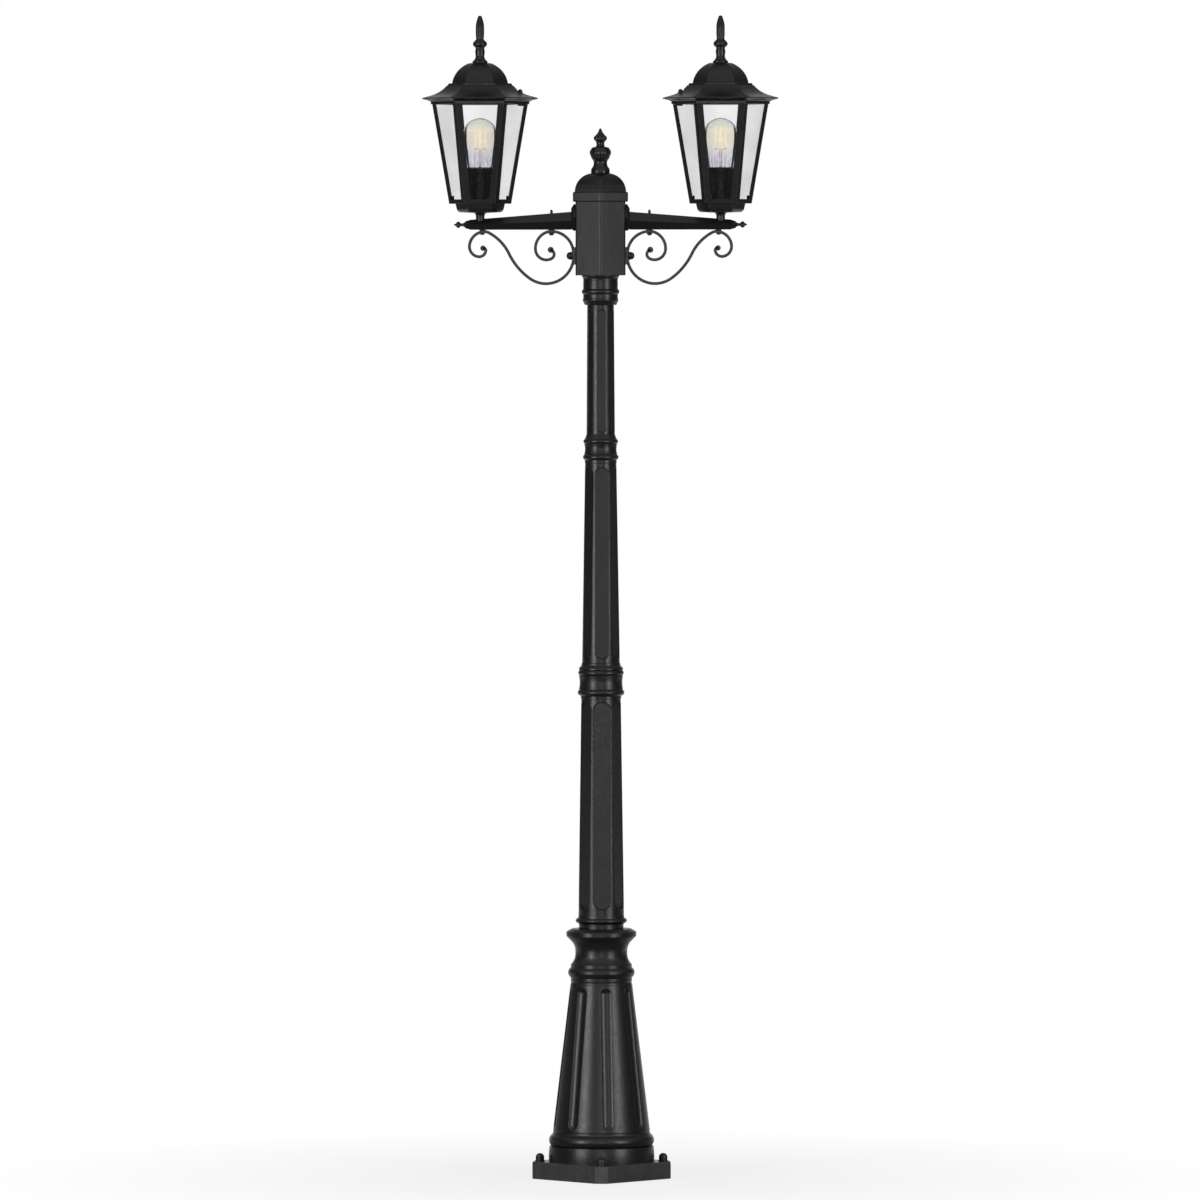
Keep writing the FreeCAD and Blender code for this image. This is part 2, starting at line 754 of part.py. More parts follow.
def build_base():
    """Base casting: chamfered square foot with cut corners, turned body, fluted cone."""
    body = new_body("base_casting")
    reach = size.base_foot_reach
    blunt = size.base_foot_side * math.sqrt(0.5) - reach
    foot = [
        (reach, -blunt), (reach, blunt), (blunt, reach), (-blunt, reach),
        (-reach, blunt), (-reach, -blunt), (-blunt, -reach), (blunt, -reach),
    ]
    plate = pad_up(body, [foot], 0, size.base_foot_height)
    top = size.base_foot_height.value
    edges = [
        f"Edge{number}" for number, edge in enumerate(plate.Shape.Edges, 1)
        if all(abs(vertex.Z - top) < top / 1000 for vertex in edge.Vertexes)
    ]
    chamfer = body.newObject("PartDesign::Chamfer", "FootChamfer")
    chamfer.Base = (plate, edges)
    tie(chamfer, "Size", size.base_foot_chamfer)
    finish(body, chamfer)
    drum_z = size.base_foot_height - size.base_foot_chamfer * 1.5
    drum_height = base_bead_z - drum_z
    outside = [(0, 0), (size.base_drum_radius * 0.9, 0), (size.base_drum_radius * 0.9, drum_z)]
    outside += moulding(DRUM_SHARES, size.base_drum_radius, drum_height, drum_z)
    outside += moulding(BEAD_SHARES, size.base_bead_radius, size.base_bead_height, base_bead_z)
    outside += moulding(
        CONE_FOOT_SHARES, size.base_cone_foot_radius, size.base_cone_height, base_cone_z)
    outside += moulding(
        CONE_TOP_SHARES, size.base_cone_top_radius, size.base_cone_height, base_cone_z)
    outside += moulding(RING_SHARES[1:], size.base_ring_radius, size.base_ring_height, base_ring_z)
    outside += moulding(NECK_SHARES, size.base_neck_radius, size.base_neck_height, base_neck_z)
    outside += moulding(
        FLANGE_SHARES, size.base_flange_radius, size.base_flange_height, base_flange_z)
    outside.append((0, lower_shaft_z))
    turn_on(body, outside)
    socket = size.lower_shaft_foot_spigot_radius + size.fit_gap
    socket_z = lower_shaft_z - size.lower_shaft_foot_spigot_length
    wide = size.base_cone_foot_radius - size.base_wall
    narrow = size.base_cone_top_radius - size.base_wall
    neck = size.base_neck_radius - size.base_wall * 0.75
    inside = [
        (0, -size.overrun), (wide, -size.overrun), (wide, base_cone_z), (narrow, base_ring_z),
        (neck, base_neck_z), (neck, socket_z - size.base_wall), (socket, socket_z),
        (socket, lower_shaft_z + size.overrun), (0, lower_shaft_z + size.overrun),
    ]
    axis_feature(body, "Groove", [(0, 0), (0, lower_shaft_z)], inside)
    run = size.base_cone_foot_radius - size.base_cone_top_radius
    sine, cosine, _ = slope(run, size.base_cone_height * 0.947)
    rise = size.base_cone_height / 2
    depth = size.base_flute_depth
    flute = (size.base_flute_width * size.base_flute_width / 4 + depth * depth) / (depth * 2)
    out = flute - depth
    centre_x = (size.base_cone_foot_radius + size.base_cone_top_radius) / 2 + out * cosine
    centre_z = base_cone_z + rise + out * sine
    half = (size.base_flute_length - size.base_flute_width) / 2

    def spot(outward, along):
        x = centre_x + outward * cosine - along * sine
        return (x, centre_z + outward * sine + along * cosine)

    ends = [spot(0, -half - flute), spot(0, half + flute)]
    bulge_share = -math.tan(math.radians(22.5)) / 2
    corners = [
        (*ends[0], bulge_share), spot(-flute, -half), (*spot(-flute, half), bulge_share), ends[1],
    ]
    turn = size.base_flute_turn_deg.value
    axis_feature(body, "Groove", ends, corners, turn - 90, size.base_flute_count)
    bore_up(
        body, size.anchor_circle_radius, size.anchor_hole_radius, -size.overrun,
        size.base_foot_height + size.overrun, 0, size.anchor_count)
    keep(body, "base_casting")
    nuts = []
    for quarter in range(int(size.anchor_count.value)):
        angle = 2 * math.pi * quarter / size.anchor_count.value
        x = size.anchor_circle_radius * math.cos(angle)
        y = size.anchor_circle_radius * math.sin(angle)
        nuts.append(hex_nut(
            f"anchor_nut_{quarter + 1}", size.anchor_nut_across, size.anchor_nut_height,
            size.anchor_nut_bore_radius, x, y, size.base_foot_height, 0.5, 0.7))
    group("anchor_cap_nuts", nuts)


def build_shaft(name, start, foot_moulding):
    """Tapered hollow shaft with a spigot at each end and round-ended flutes."""
    def part(key):
        return getattr(size, f"{name}_{key}")

    body = new_body(name)
    height = part("height")
    foot_spigot, top_spigot = part("foot_spigot_radius"), part("top_spigot_radius")
    below, above = part("foot_spigot_length"), height + part("top_spigot_length")
    turn_on(body, [
        (part("bore_radius"), -below), (foot_spigot - size.fit_gap, -below),
        (foot_spigot, size.fit_gap - below), (foot_spigot, 0),
        *foot_moulding, (part("top_radius"), height), (top_spigot, height),
        (top_spigot, above - size.fit_gap), (top_spigot - size.fit_gap, above),
        (part("bore_radius"), above),
    ])
    bottom = part("flute_foot")
    top = height - part("flute_top")
    width = part("flute_width")
    run = part("foot_radius") - part("top_radius")
    *_, degrees = slope(run, height)
    middle_radius = (part("foot_radius") + part("top_radius")) / 2
    middle = (bottom + top) / 2
    radius = middle_radius - (middle - height / 2) * run.value / height.value
    sketch = sketch_on(
        body, "YZ_Plane", y=middle, z=radius - part("flute_depth"),
        rotation=FreeCAD.Rotation(V(1, 0, 0), -degrees))
    straight = (top - bottom - width) / 2
    draw(sketch, [
        (width / 2, -straight), (width / 2, straight, 0.5), (-width / 2, straight),
        (-width / 2, -straight, 0.5),
    ])
    flute = body.newObject("PartDesign::Pocket", "Flute")
    flute.Profile = sketch
    flute.Reversed = True
    tie(flute, "Length", part("flute_depth") + size.overrun)
    finish(body, flute)
    repeat(body, flute, size.shaft_flute_count)
    place(body, z=start, turn=part("flute_turn_deg").value - 90)
    keep(body, name)


def build_coupling(name, start, shares, lower, upper):
    """Turned coupling with a socket for the shaft below and one for the shaft above."""
    height = getattr(size, f"{name}_height")
    body = new_body(name)
    below = getattr(size, f"{lower}_top_spigot_radius") + size.fit_gap
    above = getattr(size, f"{upper}_foot_spigot_radius") + size.fit_gap
    web_z = getattr(size, f"{lower}_top_spigot_length") + size.fit_gap * 2
    web_top = web_z + getattr(size, f"{name}_web")
    hole = getattr(size, f"{name}_web_hole_radius")
    turn_on(body, [
        (below, 0), *moulding(shares, getattr(size, f"{name}_radius"), height), (above, height),
        (above, web_top), (hole, web_top), (hole, web_z), (below, web_z),
    ])
    place(body, z=start)
    keep(body, name)
    return body


def build_grub_screws(holes):
    """Grub screws at the back, one for each socket, each flush with its casting."""
    screws = []
    for number, (body, lift, height, spigot) in enumerate(holes, 1):
        far = spigot * 2
        bore_out(body, height, size.grub_radius + size.thread_gap, spigot - size.fit_gap, far, 90)
        screw = new_body(f"grub_screw_{number}")
        radius, length = size.grub_radius, size.grub_length
        turn_on(screw, [
            (0, 0), (radius * 0.6, 0), (radius, radius * 0.3), (radius, length),
            (radius * 0.5, length), (radius * 0.5, length * 0.6), (0, length * 0.6),
        ])
        place(screw, y=spigot + size.thread_gap * 2, z=lift + height, turn=90, tip=90)
        screws.append(screw)
    group("grub_screws", screws)


def build_post():
    """Shafts and couplings from the base to the top collar."""
    foot = moulding(SHAFT_FOOT_SHARES, size.lower_shaft_bead_radius, size.lower_shaft_bead_height)
    build_shaft("lower_shaft", lower_shaft_z, foot)
    build_shaft("middle_shaft", middle_shaft_z, [(size.middle_shaft_foot_radius, 0)])
    build_shaft("upper_shaft", upper_shaft_z, [(size.upper_shaft_foot_radius, 0)])
    lower = build_coupling(
        "lower_coupling", lower_coupling_z, LOWER_COUPLING_SHARES, "lower_shaft", "middle_shaft")
    upper = build_coupling(
        "upper_coupling", upper_coupling_z, UPPER_COUPLING_SHARES, "middle_shaft", "upper_shaft")
    collar = new_body("top_collar")
    socket = size.upper_shaft_top_spigot_radius + size.fit_gap
    top = size.collar_height + size.collar_spigot_length
    turn_on(collar, [
        (socket, 0), *moulding(COLLAR_SHARES, size.collar_radius, size.collar_height),
        (size.collar_spigot_radius, size.collar_height), (size.collar_spigot_radius, top),
        (size.collar_cable_radius, top), (size.collar_cable_radius, size.collar_socket_depth),
        (socket, size.collar_socket_depth),
    ])
    bore_up(
        collar, size.floor_screw_circle_radius, size.floor_screw_radius + size.thread_gap,
        size.collar_height - size.floor_screw_depth, size.collar_height + size.overrun,
        -90, size.floor_screw_count)
    place(collar, z=collar_z)
    keep(collar, "top_collar")
    low, high = size.lower_coupling_height, size.upper_coupling_height
    build_grub_screws([
        (nodes["base_casting"], 0, lower_shaft_z - size.base_flange_height / 2,
         size.lower_shaft_foot_spigot_radius),
        (lower, lower_coupling_z, low * 0.17, size.lower_shaft_top_spigot_radius),
        (lower, lower_coupling_z, low * 0.74, size.middle_shaft_foot_spigot_radius),
        (upper, upper_coupling_z, high * 0.21, size.middle_shaft_top_spigot_radius),
        (upper, upper_coupling_z, high * 0.76, size.upper_shaft_foot_spigot_radius),
        (collar, collar_z, size.collar_height * 0.3, size.upper_shaft_top_spigot_radius),
    ])


def build_head():
    """Hexagonal head block, its screws, its cap and finial, and the terminal block inside."""
    head = new_body("head_block")
    inner = size.head_apothem - size.head_wall
    outline = rounded_hexagon(size.head_apothem, size.head_corner_round)
    pad_up(head, [outline], 0, size.head_height)
    hollow = rounded_hexagon(inner, size.head_corner_round / 2)
    pocket_up(head, [hollow], size.head_floor, size.head_height)
    spigot = size.collar_spigot_radius + size.fit_gap
    bore_up(head, 0, spigot, -size.overrun, size.head_floor + size.overrun)
    bore_up(
        head, size.floor_screw_circle_radius, size.floor_screw_radius + size.fit_gap,
        -size.overrun, size.head_floor + size.overrun, -90, size.floor_screw_count)
    arm_in_head = size.head_height - size.arm_drop
    for turn in (0, 180):
        cable_z = arm_in_head + size.arm_end_height / 2
        bore_out(
            head, cable_z, size.head_cable_hole_radius, inner - size.overrun,
            size.head_apothem + size.overrun, turn)
        for way in (-1, 1):
            bore_out(
                head, arm_in_head + size.arm_flange_centre + size.arm_screw_spacing / 2 * way,
                size.floor_screw_radius + size.fit_gap, inner - size.overrun,
                size.head_apothem + size.overrun, turn)
        foot_z = arm_in_head + scroll_foot_z
        bore_out(
            head, foot_z, size.floor_screw_radius + size.thread_gap, inner - size.overrun,
            size.head_apothem + size.overrun, turn)
    place(head, z=head_z)
    keep(head, "head_block")

    screws = []
    for number in range(int(size.floor_screw_count.value)):
        angle = math.radians(-90) + 2 * math.pi * number / size.floor_screw_count.value
        screw = pan_screw(
            f"floor_screw_{number + 1}", size.floor_screw_radius,
            size.floor_screw_depth + size.head_floor - size.fit_gap * 2, size.screw_head_radius,
            size.screw_head_height)
        place(
            screw, size.floor_screw_circle_radius * math.cos(angle),
            size.floor_screw_circle_radius * math.sin(angle), head_z + size.head_floor)
        screws.append(screw)
    group("head_floor_screws", screws)

    block = doc.addObject("Part::Box", "terminal_body")
    tie(block, "Length", size.terminal_length)
    tie(block, "Width", size.terminal_depth)
    tie(block, "Height", size.terminal_height)
    ways = [
        rod(
            f"terminal_way_{way}", size.terminal_way_radius, size.terminal_height,
            size.terminal_length / 2 + size.terminal_way_pitch * (way - 2),
            size.terminal_depth / 2, size.terminal_height / 2)
        for way in (1, 2, 3)
    ]
    terminal = cut("terminal_block", block, *ways)
    place(
        terminal, -size.terminal_length / 2, size.terminal_offset, head_z + size.head_floor)
    keep(terminal, "terminal_block")

    lip = inner - size.fit_gap
    lip_z = -size.cap_lip_depth
    band, dome = size.cap_band_apothem, size.cap_dome_apothem
    edge = size.cap_band_height * 0.09
    top = size.cap_band_height + size.cap_dome_height
    outside = [
        (lip, lip_z), (lip, 0), (band - edge, 0), (band, edge), (band, size.cap_band_height - edge),
        (band - edge, size.cap_band_height), (dome, size.cap_band_height, 0.187),
        (size.cap_top_apothem, top),
    ]
    wall = size.cap_wall
    inside = [
        (lip - wall, lip_z - size.overrun), (lip - wall, size.cap_band_height, 0.187),
        (size.cap_top_apothem - wall, top - wall * 1.5),
    ]
    shell = cut(
        "head_cap", hex_moulding("cap_outside", outside, 0), hex_moulding("cap_inside", inside, 0),
        rod("cap_hole", size.finial_spigot_radius + size.thread_gap, top * 2))
    place(shell, z=cap_z)
    keep(shell, "head_cap")

    finial = new_body("head_finial")
    turn_on(finial, [
        (0, -size.finial_spigot_length), (size.finial_spigot_radius, -size.finial_spigot_length),
        (size.finial_spigot_radius, 0),
        *moulding(HEAD_FINIAL_SHARES, size.head_finial_radius, size.head_finial_height),
    ])
    place(finial, z=head_finial_z)
    keep(finial, "head_finial")


def scroll_path():
    """Corners of the scroll's centre line, from the head's face and the arm's underside."""
    span = size.arm_reach - size.head_apothem
    x, z = SCROLL_START_SHARES
    heading = math.radians(SCROLL_START_DEG)
    spots = []
    for radius, degrees in SCROLL_BEND_SHARES:
        bulge_share = math.tan(math.radians(degrees) / 4) / 2
        spots.append((x, z, bulge_share))
        side = math.copysign(1, degrees)
        turned = heading + math.radians(degrees)
        x += side * radius * (math.sin(turned) - math.sin(heading))
        z -= side * radius * (math.cos(turned) - math.cos(heading))
        heading = turned
    spots.append((x, z))
    level = spots[SCROLL_CROWN_BEND][1]
    top = -size.scroll_bar_thickness / 2 - size.fit_gap
    return [
        (size.head_apothem + span * spot[0], top + span * (spot[1] - level), *spot[2:])
        for spot in spots
    ]


scroll_corners = scroll_path()
scroll_bolt_x = scroll_corners[SCROLL_CROWN_BEND][0] - size.scroll_bolt_place
scroll_end_x = scroll_corners[SCROLL_END_BEND][0] + size.scroll_end_place
scroll_foot_z = scroll_corners[SCROLL_FOOT_BEND][1]


def build_arm(side, turn):
    """Arm with its flange and seat, its end finial and its screws."""
    arm = new_body(f"arm_{side}")
    face = size.head_apothem
    shoulder = face + size.arm_flange_thickness
    end = size.arm_reach + size.arm_overhang
    tip = end + size.arm_tip_length

    def section(x, height, centre):
        sketch = sketch_on(arm, "YZ_Plane", z=x)
        draw(sketch, hexagon(height / 2, centre))
        return sketch

    middle = size.arm_end_height / 2
    flange = size.arm_flange_centre
    loft(arm, "AdditiveLoft", [
        section(face, size.arm_flange_height, flange),
        section(face + size.arm_flange_thickness * 0.4, size.arm_flange_height, flange),
        section(shoulder, size.arm_flange_shoulder_height, flange * 0.9),
    ])
    loft(arm, "AdditiveLoft", [
        section(shoulder, size.arm_root_height, size.arm_root_height / 2),
        section(end, size.arm_end_height, middle),
        section(tip, size.arm_tip_height, middle),
    ])
    boss_up(arm, size.arm_reach, [
        (0, middle), (size.arm_seat_radius, middle), (size.arm_seat_radius, size.arm_seat_height),
        (0, size.arm_seat_height),
    ])
    bore_out(
        arm, middle, size.arm_bore_radius, face - size.overrun,
        size.arm_reach + size.arm_seat_radius)
    bore_out(
        arm, middle, size.arm_finial_spigot_radius + size.thread_gap,
        tip - size.arm_finial_spigot_length - size.fit_gap, tip + size.overrun)
    bore_up(
        arm, size.arm_reach, size.stem_radius + size.thread_gap, middle,
        size.arm_seat_height + size.overrun)
    bore_up(
        arm, scroll_bolt_x, size.scroll_bolt_radius + size.fit_gap, -size.overrun,
        size.arm_root_height + size.overrun)
    bore_up(
        arm, scroll_end_x, size.floor_screw_radius + size.thread_gap, -size.overrun,
        size.scroll_end_screw_grip + size.fit_gap)
    for way in (-1, 1):
        bore_out(
            arm, flange + size.arm_screw_spacing / 2 * way,
            size.floor_screw_radius + size.thread_gap, face - size.overrun,
            face + size.arm_screw_depth + size.fit_gap)
    place(arm, z=arm_z, turn=turn)
    keep(arm, f"arm_{side}")

    finial = new_body(f"arm_end_finial_{side}")
    turn_on(finial, [
        (0, -size.arm_finial_spigot_length),
        (size.arm_finial_spigot_radius, -size.arm_finial_spigot_length),
        (size.arm_finial_spigot_radius, 0),
        *moulding(ARM_FINIAL_SHARES, size.arm_finial_radius, size.arm_finial_length),
    ])
    outward = 1 if side == "right" else -1
    place(finial, tip * outward, z=arm_z + middle, turn=turn, tip=90)
    keep(finial, f"arm_end_finial_{side}")

    screws = []
    for number, way in enumerate((-1, 1), 1):
        screw = pan_screw(
            f"arm_screw_{side}_{number}", size.floor_screw_radius,
            size.arm_screw_depth + size.head_wall, size.screw_head_radius, size.screw_head_height)
        z = arm_z + flange + size.arm_screw_spacing / 2 * way
        place(screw, (face - size.head_wall) * outward, z=z, turn=turn, tip=-90)
        screws.append(screw)
    group(f"arm_flange_screws_{side}", screws)

    bolt = new_body(f"arm_bolt_{side}")
    bottom = -size.scroll_boss_radius * 1.2
    radius, top = size.scroll_bolt_radius, size.scroll_bolt_rise
    turn_on(bolt, [
        (0, bottom - size.scroll_bolt_head_height),
        (radius, bottom - size.scroll_bolt_head_height),
        (size.scroll_bolt_head_radius, bottom - size.scroll_bolt_head_height * 0.25),
        (size.scroll_bolt_head_radius, bottom), (radius, bottom), (radius, top - radius),
        (radius * 0.5, top), (0, top),
    ])
    place(bolt, scroll_bolt_x * outward, z=arm_z, turn=turn)
    keep(bolt, f"arm_bolt_{side}")


def build_scroll(side, turn):
    """Scroll bracket: the bent bar with its end knobs, its foot plate, boss and pad."""
    outward = 1 if side == "right" else -1
    scroll = new_body(f"scroll_{side}")
    thickness, width = size.scroll_bar_thickness, size.scroll_bar_width
    path = sketch_on(scroll, "XZ_Plane")
    draw(path, scroll_corners, closed=False)
    x, z = scroll_corners[0][:2]
    heading = math.radians(SCROLL_START_DEG)
    way = V(math.cos(heading), 0, math.sin(heading))
    section = sketch_on(
        scroll, "XY_Plane", x=x, z=z, rotation=FreeCAD.Rotation(V(0, 0, 1), way))
    draw(section, [
        (thickness / 2, -width / 2), (thickness / 2, width / 2), (-thickness / 2, width / 2),
        (-thickness / 2, -width / 2),
    ])
    doc.recompute()
    bar = scroll.newObject("PartDesign::AdditivePipe", "Bar")
    bar.Profile = section
    bar.Spine = (path, [f"Edge{number + 1}" for number in range(len(SCROLL_BEND_SHARES))])
    bar.Mode = "Frenet"
    finish(scroll, bar)
    for corner, radius in (
            (scroll_corners[0], size.scroll_outer_knob_radius),
            (scroll_corners[-1], size.scroll_inner_knob_radius)):
        knob = sketch_on(scroll, "XZ_Plane")
        x, z = corner[:2]
        draw(knob, [(x + radius, z, 0.5), (x - radius, z, 0.5)])
        pad = scroll.newObject("PartDesign::Pad", "Knob")
        pad.Profile = knob
        tie(pad, "Length", width)
        pad.Midplane = True
        finish(scroll, pad)
    face = size.head_apothem
    half_foot = size.scroll_foot_width / 2
    plate = [
        (face, -half_foot), (face + size.scroll_foot_thickness, -half_foot),
        (face + size.scroll_foot_thickness, half_foot), (face, half_foot),
    ]
    pad_up(scroll, [plate], scroll_foot_z - size.scroll_foot_height / 2, size.scroll_foot_height)
    reach = face + size.scroll_foot_boss_height
    foot_radius = size.scroll_foot_boss_radius
    axis_feature(
        scroll, "Revolution", [(face, scroll_foot_z), (reach, scroll_foot_z)],
        [(face, scroll_foot_z), (reach, scroll_foot_z), (reach, scroll_foot_z + foot_radius),
         (face, scroll_foot_z + foot_radius)])
    bore_out(
        scroll, scroll_foot_z, size.floor_screw_radius + size.fit_gap, face - size.overrun,
        reach + size.overrun)
    low = -size.scroll_boss_radius * 1.2
    for x, radius, hole in (
            (scroll_bolt_x, size.scroll_boss_radius, size.scroll_bolt_radius),
            (scroll_end_x, size.scroll_end_radius, size.floor_screw_radius)):
        boss_up(scroll, x, [(0, low), (radius * 0.93, low), (radius, 0), (0, 0)])
        bore_up(scroll, x, hole + size.fit_gap, low - size.overrun, size.overrun)
    place(scroll, z=arm_z, turn=turn)
    keep(scroll, f"scroll_{side}")

    screw = pan_screw(
        f"scroll_screw_{side}", size.floor_screw_radius,
        size.scroll_foot_boss_height + size.head_wall, size.scroll_screw_head_radius,
        size.scroll_screw_head_height)
    place(screw, reach * outward, z=arm_z + scroll_foot_z, turn=turn, tip=90)
    keep(screw, f"scroll_screw_{side}")

    screw = pan_screw(
        f"scroll_end_screw_{side}", size.floor_screw_radius, size.scroll_end_screw_grip - low,
        size.screw_head_radius, size.screw_head_height)
    place(screw, scroll_end_x * outward, z=arm_z + low, turn=turn, tip=180)
    keep(screw, f"scroll_end_screw_{side}")


def hex_plate_section(body, radius, z):
    """Level hexagon sketch with a corner on X."""
    sketch = sketch_on(body, "XY_Plane", z=z)
    draw(sketch, hexagon(radius * APOTHEM_SHARE))
    return sketch


def build_cage(side, turn, x):
    """Tapered hexagonal cage with six windows, its glass and the corner clips."""
    cage = new_body(f"cage_{side}")
    height = size.cage_frame_height
    foot, top = size.cage_foot_radius, size.cage_top_radius
    growth = (top - foot) / height
    skin = size.cage_wall / APOTHEM_SHARE
    loft(cage, "AdditiveLoft", [
        hex_plate_section(cage, foot, 0), hex_plate_section(cage, top, height)])
    loft(cage, "SubtractiveLoft", [
        hex_plate_section(cage, foot + growth * size.cage_floor - skin, size.cage_floor),
        hex_plate_section(cage, top + growth * size.overrun - skin, height + size.overrun)])
    window = sketch_on(cage, "XZ_Plane")
    low = (foot + growth * size.cage_rail) / 2 - size.cage_corner_flange
    high = top / 2 - size.cage_corner_flange
    draw(window, [(low, size.cage_rail), (high, height), (-high, height), (-low, size.cage_rail)])
    pocket = cage.newObject("PartDesign::Pocket", "Window")
    pocket.Profile = window
    tie(pocket, "Length", top)
    finish(cage, pocket)
    repeat(cage, pocket, 6)
    ring = size.cage_ring_height
    pad_up(
        cage, [hexagon(size.cage_ring_radius * APOTHEM_SHARE),
               hexagon(size.cage_ring_bore_radius * APOTHEM_SHARE)], height, ring)
    roof_base = height + ring
    lug_base = roof_base - size.roof_lug_height
    boss_up(cage, -size.roof_stud_place, [
        (0, lug_base), (size.roof_lug_radius, lug_base), (size.roof_lug_radius, roof_base),
        (0, roof_base)])
    bore_up(
        cage, -size.roof_stud_place, size.roof_stud_radius + size.thread_gap,
        lug_base - size.overrun, roof_base + size.overrun)
    hole = size.stem_radius + size.fit_gap
    bore_up(cage, 0, hole, -size.overrun, size.cage_floor + size.overrun)
    place(cage, x, z=cage_z, turn=turn)
    keep(cage, f"cage_{side}")

    glass = new_body(f"glass_panes_{side}")
    run = (top - foot) * APOTHEM_SHARE
    sine, cosine, degrees = slope(run, height)
    set_in = (size.cage_wall + size.fit_gap) / cosine
    pane_foot = size.cage_floor + size.glass_thickness * sine + size.fit_gap
    pane_top = height - size.glass_thickness * sine - size.fit_gap
    growth_in = growth * APOTHEM_SHARE
    foot_apothem = (foot * APOTHEM_SHARE - set_in) + growth_in * pane_foot
    length = (pane_top - pane_foot) / cosine

    def half_width(apothem):
        return (apothem - size.glass_thickness - size.fit_gap) * math.tan(math.radians(30))

    top_apothem = foot_apothem + growth_in * (pane_top - pane_foot)
    pane = sketch_on(
        glass, "XZ_Plane", y=pane_foot, z=foot_apothem,
        rotation=FreeCAD.Rotation(V(1, 0, 0), degrees))
    low, high = half_width(foot_apothem), half_width(top_apothem)
    draw(pane, [(low, 0), (high, length), (-high, length), (-low, 0)])
    pad = glass.newObject("PartDesign::Pad", "Pane")
    pad.Profile = pane
    tie(pad, "Length", size.glass_thickness)
    pad.Reversed = True
    finish(glass, pad)
    repeat(glass, pad, 6)
    place(glass, x, z=cage_z, turn=turn)
    keep(glass, f"glass_panes_{side}")

    clips = new_body(f"glass_clips_{side}")
    apex = (foot_apothem - size.glass_thickness / cosine - size.fit_gap * 2) / APOTHEM_SHARE
    back = size.clip_depth
    wedge = [(apex, 0), (apex - back, back * math.sqrt(3)), (apex - back, -back * math.sqrt(3))]
    clip = pad_up(clips, [wedge], size.cage_floor, size.clip_height)
    repeat(clips, clip, 6)
    place(clips, x, z=cage_z, turn=turn)
    keep(clips, f"glass_clips_{side}")


def build_tray(side, turn, x):
    """Hexagonal tray under the lantern, and the stem that clamps the stack to the arm."""
    radius, height = size.tray_radius, size.tray_height
    hole = size.stem_radius + size.fit_gap
    outside = moulding(TRAY_SHARES, radius * APOTHEM_SHARE, height)
    floor = height * 0.45
    inside = [
        ((radius * 0.86 - size.tray_wall) * APOTHEM_SHARE, floor),
        ((radius - size.tray_wall) * APOTHEM_SHARE, height + size.overrun),
    ]
    foot = new_body(f"tray_foot_{side}")
    turn_on(foot, [(hole, 0), *moulding(TRAY_FOOT_SHARES, radius, height), (hole, height * 0.29)])
    tray = cut(
        f"tray_{side}",
        fused(f"tray_solid_{side}", hex_moulding(f"tray_outside_{side}", outside, 30), foot),
        hex_moulding(f"tray_inside_{side}", inside, 30),
        rod(f"tray_hole_{side}", hole, height))
    place(tray, x, z=lantern_z, turn=turn)
    keep(tray, f"tray_{side}")

    stem = new_body(f"stem_{side}")
    low = size.arm_end_height / 2 + size.arm_bore_radius + size.fit_gap - size.arm_seat_height
    disc = size.tray_height + size.cage_floor + size.holder_disc
    top = disc + size.holder_nut_height + size.overrun
    turn_on(stem, [
        (size.stem_bore_radius, low), (size.stem_radius, low), (size.stem_radius, top),
        (size.stem_bore_radius, top)])
    place(stem, x, z=lantern_z, turn=turn)
    keep(stem, f"stem_{side}")
    nut = hex_nut(
        f"stem_nut_{side}", size.stem_nut_across, size.holder_nut_height,
        size.stem_radius + size.thread_gap, x, z=lantern_z + disc)
    keep(nut, f"stem_nut_{side}")


